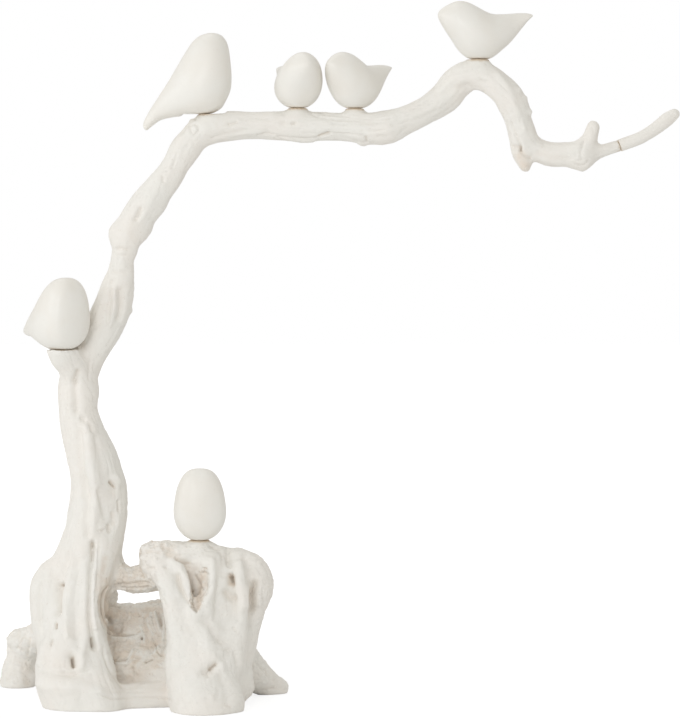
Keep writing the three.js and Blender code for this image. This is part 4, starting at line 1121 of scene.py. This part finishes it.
def bird_rings(mould):
    """Rings of points round a bird, from beak to tail or from crown to tail, about its seat: ovals that are
    widest a little below their middle, and squarer in their upper half where crown is above 2."""
    dense = thread(mould["stations"], BIRD_STEPS)
    angles = 2 * math.pi * np.arange(BIRD_SIDES) / BIRD_SIDES
    cos, sin = np.cos(angles), np.sin(angles)
    power = np.where(cos > 0, 2 / mould["crown"], 1)
    rise = np.sign(cos) * np.abs(cos) ** power
    spread = np.sign(sin) * np.abs(sin) ** power
    leans = "lean" in mould
    place = dense[:, 0]
    top, bottom = (-dense[:, 2], -dense[:, 1]) if leans else (dense[:, 1], dense[:, 2])
    up = ((top + bottom) / 2)[:, None] + ((top - bottom) / 2)[:, None] * rise
    across = dense[:, 3:4] * spread * (1 - mould["wide_low"] * rise)
    if not leans:
        return np.stack([place[:, None] + 0 * up, across, smooth_floor(up, BIRD_ROUND)], axis=2)
    cos_lean, sin_lean = math.cos(mould["lean"]), math.sin(mould["lean"])
    x = mould["tail"][0] + place[:, None] * cos_lean - up * sin_lean
    z = mould["tail"][1] + place[:, None] * sin_lean + up * cos_lean
    level = np.where(x > mould["flat_from"], smooth_floor(z, BIRD_ROUND), z)
    return np.stack([x, across, level], axis=2)[::-1]


def skin_rings(rings):
    """Closes a row of rings into one skin with a point at either end."""
    count, sides = rings.shape[:2]
    points = np.vstack([rings[0].mean(0)[None], rings.reshape(-1, 3), rings[-1].mean(0)[None]])
    faces = []
    last = len(points) - 1
    for side in range(sides):
        after = (side + 1) % sides
        faces.append((0, 1 + after, 1 + side))
        for ring in range(count - 1):
            a = 1 + ring * sides
            faces.append((a + side, a + after, a + sides + after, a + sides + side))
        end = 1 + (count - 1) * sides
        faces.append((last, end + side, end + after))
    return points, faces


def make_bird(name, mould_name, seat, heading, scale):
    mould = TALL_MOULD if mould_name == "tall" else BIRD_MOULDS[mould_name]
    points, faces = skin_rings(bird_rings(mould) * scale)
    cos, sin = math.cos(math.radians(heading)), math.sin(math.radians(heading))
    x, y, z = points.T
    placed = np.stack([x * cos - y * sin, x * sin + y * cos, z + BIRD_LIFT], axis=1) + seat
    piece = make_object(name, placed, faces)
    low, middle = 1 - ramp(z, *BIRD_STAIN_HEIGHT), 1 - ramp(np.hypot(x, y), *BIRD_STAIN_RADIUS)
    store(piece, "stain", low * middle)
    return piece


def add_node(tree, kind, inputs=None, **settings):
    """Adds a shader node with its settings, each of its inputs set to a value or linked to an output."""
    node = tree.nodes.new("ShaderNode" + kind)
    for name, value in settings.items():
        setattr(node, name, value)
    for name, value in (inputs or {}).items():
        if isinstance(value, bpy.types.NodeSocket):
            tree.links.new(value, node.inputs[name])
        else:
            node.inputs[name].default_value = value
    return node


def empty_material(name):
    material = bpy.data.materials.new(name)
    material.use_nodes = True
    material.node_tree.nodes.clear()
    return material, material.node_tree


def noise(tree, scale, detail, roughness=0.5):
    """Noise in the row frame, whose bumps are about one over the scale in metres apart."""
    place = add_node(tree, "TexCoord").outputs["Object"]
    inputs = {"Scale": scale, "Detail": detail, "Roughness": roughness, "Vector": place}
    return add_node(tree, "TexNoise", inputs).outputs["Fac"]


def attribute_value(tree, name):
    return add_node(tree, "Attribute", attribute_name=name).outputs["Fac"]


def map_range(tree, value, low, high, out_low=0.0, out_high=1.0):
    inputs = {"Value": value, "From Min": low, "From Max": high, "To Min": out_low, "To Max": out_high}
    return add_node(tree, "MapRange", inputs, interpolation_type="SMOOTHSTEP").outputs["Result"]


def patches(tree, scale, detail, *limits):
    """Noise as a factor: between two limits of the noise it runs from one value to another."""
    return map_range(tree, noise(tree, scale, detail), *limits)


def multiply(tree, first, second):
    return add_node(tree, "Math", {0: first, 1: second}, operation="MULTIPLY").outputs[0]


def bump(tree, height, strength, distance, **below):
    inputs = {"Strength": strength, "Distance": distance, "Height": height, **below}
    return add_node(tree, "Bump", inputs).outputs["Normal"]


def add_resin(tree, base, layers, **inputs):
    """A shader whose colour is the base with layers over it, each by its own factor."""
    colour = base
    for factor, layer in layers:
        mix = add_node(tree, "Mix", {"Factor": factor, "A": colour, "B": layer}, data_type="RGBA")
        colour = mix.outputs["Result"]
    named = {name.replace("_", " "): value for name, value in inputs.items()}
    shader = add_node(tree, "BsdfPrincipled", {"Base Color": colour, "Specular IOR Level": 0.35, **named})
    add_node(tree, "OutputMaterial", {"Surface": shader.outputs[0]})


def driftwood_material():
    material, tree = empty_material("matt_driftwood_resin")
    recess = map_range(tree, attribute_value(tree, "recess"), 0.3, 0.85, 0.0, 0.3)
    crumbly = map_range(tree, attribute_value(tree, "crumbly"), 0.35, 0.9, 0.0, 0.4)
    wash_and_shade = attribute_value(tree, "wash_and_shade")
    broken = patches(tree, 260, 4, 0.3, 0.6, 0.6, 1.0)
    layers = (
        (patches(tree, 35, 3, 0.35, 0.65), RESIN_WARM),
        (patches(tree, 160, 3, 0.5, 0.75, 0.0, 0.35), RESIN_PALE),
        # Brown and painted shade in hollows, darkest where they are deepest
        (multiply(tree, recess, patches(tree, 90, 4, 0.3, 0.6, 0.4, 1.0)), RECESS_BROWN_AND_SHADE),
        (multiply(tree, crumbly, patches(tree, 150, 4, 0.45, 0.62)), CRUMB_BROWN),
        # Brown wash with painted shade in marks and creases, darkest in deep pits, then painted shade in fine
        # pits
        (multiply(tree, map_range(tree, wash_and_shade, 0.0, 0.55, 0.0, 0.7), broken), WASH_BROWN_AND_SHADE),
        (multiply(tree, map_range(tree, wash_and_shade, 0.42, 0.9, 0.0, 0.7), broken), DARK_WASH_AND_SHADE),
        (map_range(tree, attribute_value(tree, "shade"), 0.25, 0.9, 0.0, 0.8), PIT_SHADE),
        (patches(tree, 700, 2, 0.66, 0.74, 0.0, 0.18), SPECK_BROWN),
        (multiply(tree, attribute_value(tree, "stain"), 0.8), SEAT_BROWN),
    )
    pores = bump(tree, noise(tree, 1300, 3, 0.6), 0.35, 0.0003)
    add_resin(tree, RESIN_COOL, layers, Roughness=patches(tree, 220, 3, 0.3, 0.7, 0.62, 0.82),
              Normal=bump(tree, noise(tree, 380, 3, 0.55), 0.4, 0.0006, Normal=pores))
    return material


def bird_material():
    material, tree = empty_material("satin_bird_resin")
    layers = (
        (patches(tree, 45, 3, 0.35, 0.65), BIRD_WARM),
        (patches(tree, 420, 4, 0.62, 0.75, 0.0, 0.12), BIRD_SCUFF),
        (multiply(tree, attribute_value(tree, "stain"), 0.6), BIRD_SEAT_BROWN),
    )
    add_resin(tree, BIRD_COOL, layers, Roughness=patches(tree, 150, 3, 0.3, 0.7, 0.36, 0.48),
              Coat_Weight=0.05, Coat_Roughness=0.3, Normal=bump(tree, noise(tree, 260, 2), 0.12, 0.0006))
    return material


def make_camera():
    """The photograph's view: a long lens a little above the middle, tipped down slightly."""
    camera = bpy.data.objects.new("photo_camera", bpy.data.cameras.new("photo_camera"))
    camera.data.sensor_width = 36.0
    camera.data.lens = camera.data.sensor_width * FOCAL_PIXELS / PHOTO_HEIGHT
    camera.data.clip_end = 50.0
    camera.location = (np.array(CAMERA_PLACE) + LIST_TO_ROW) * MM
    camera.rotation_euler = Euler((math.radians(90 - CAMERA_TILT), 0, 0))
    bpy.context.scene.collection.objects.link(camera)
    bpy.context.scene.camera = camera


def make_floor():
    """A plain white floor that catches a faint shadow near the object and is pure white beyond it."""
    mesh = bpy.data.meshes.new("floor")
    corners = [(x * FLOOR_HALF, y * FLOOR_HALF, 0) for x, y in ((-1, -1), (1, -1), (1, 1), (-1, 1))]
    mesh.from_pydata(corners, [], [(0, 1, 2, 3)])
    floor = bpy.data.objects.new("floor", mesh)
    bpy.context.scene.collection.objects.link(floor)
    material, tree = empty_material("white_floor")
    shader = add_node(tree, "BsdfPrincipled",
                      {"Base Color": FLOOR_COLOUR, "Roughness": 0.9, "Specular IOR Level": 0.1})
    place = add_node(tree, "TexCoord").outputs["Object"]
    distance = add_node(tree, "VectorMath", {0: place}, operation="LENGTH").outputs["Value"]
    far = map_range(tree, distance, GLOW_NEAR, GLOW_FAR, GLOW_LEAST)
    seen = multiply(tree, far, add_node(tree, "LightPath").outputs["Is Camera Ray"])
    glow = add_node(tree, "Emission", {"Strength": GLOW_STRENGTH})
    mix = add_node(tree, "MixShader", {0: seen, 1: shader.outputs[0], 2: glow.outputs[0]})
    add_node(tree, "OutputMaterial", {"Surface": mix.outputs[0]})
    mesh.materials.append(material)


def make_lamps():
    for name, (place, power) in LAMPS.items():
        data = bpy.data.lights.new(name, "AREA")
        data.shape = "DISK"
        data.size = LAMP_SIZE
        data.energy = power
        data.color = LAMP_COLOUR
        lamp = bpy.data.objects.new(name, data)
        lamp.location = place
        lamp.rotation_euler = (Vector(LAMP_TARGET) - Vector(place)).to_track_quat("-Z", "Y").to_euler()
        bpy.context.scene.collection.objects.link(lamp)


def make_sky():
    """Soft light from all around. The camera sees plain white."""
    world = bpy.data.worlds.new("soft_studio")
    bpy.context.scene.world = world
    world.use_nodes = True
    tree = world.node_tree
    tree.nodes.clear()
    light = add_node(tree, "Background", {"Color": SKY_COLOUR, "Strength": SKY_STRENGTH})
    white = add_node(tree, "Background", {"Color": WHITE})
    seen = add_node(tree, "LightPath").outputs["Is Camera Ray"]
    mix = add_node(tree, "MixShader", {0: seen, 1: light.outputs[0], 2: white.outputs[0]})
    add_node(tree, "OutputWorld", {"Surface": mix.outputs[0]})


make_camera()
make_floor()
make_lamps()
make_sky()
bpy.context.scene.view_settings.view_transform = "Standard"

driftwood = driftwood_material()
satin = bird_material()

branch = make_branch()
branch.data.materials.append(driftwood)
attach(branch, "root")
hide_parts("branch")

twig_tip = make_twig_tip()
twig_tip.data.materials.append(driftwood)
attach(twig_tip, "root")
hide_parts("twig_tip")

for node, (mould_name, seat, heading, scale) in BIRDS.items():
    bird = make_bird("smooth_" + node, mould_name, seat, heading, scale)
    bird.data.materials.append(satin)
    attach(bird, "root")
    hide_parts(node)
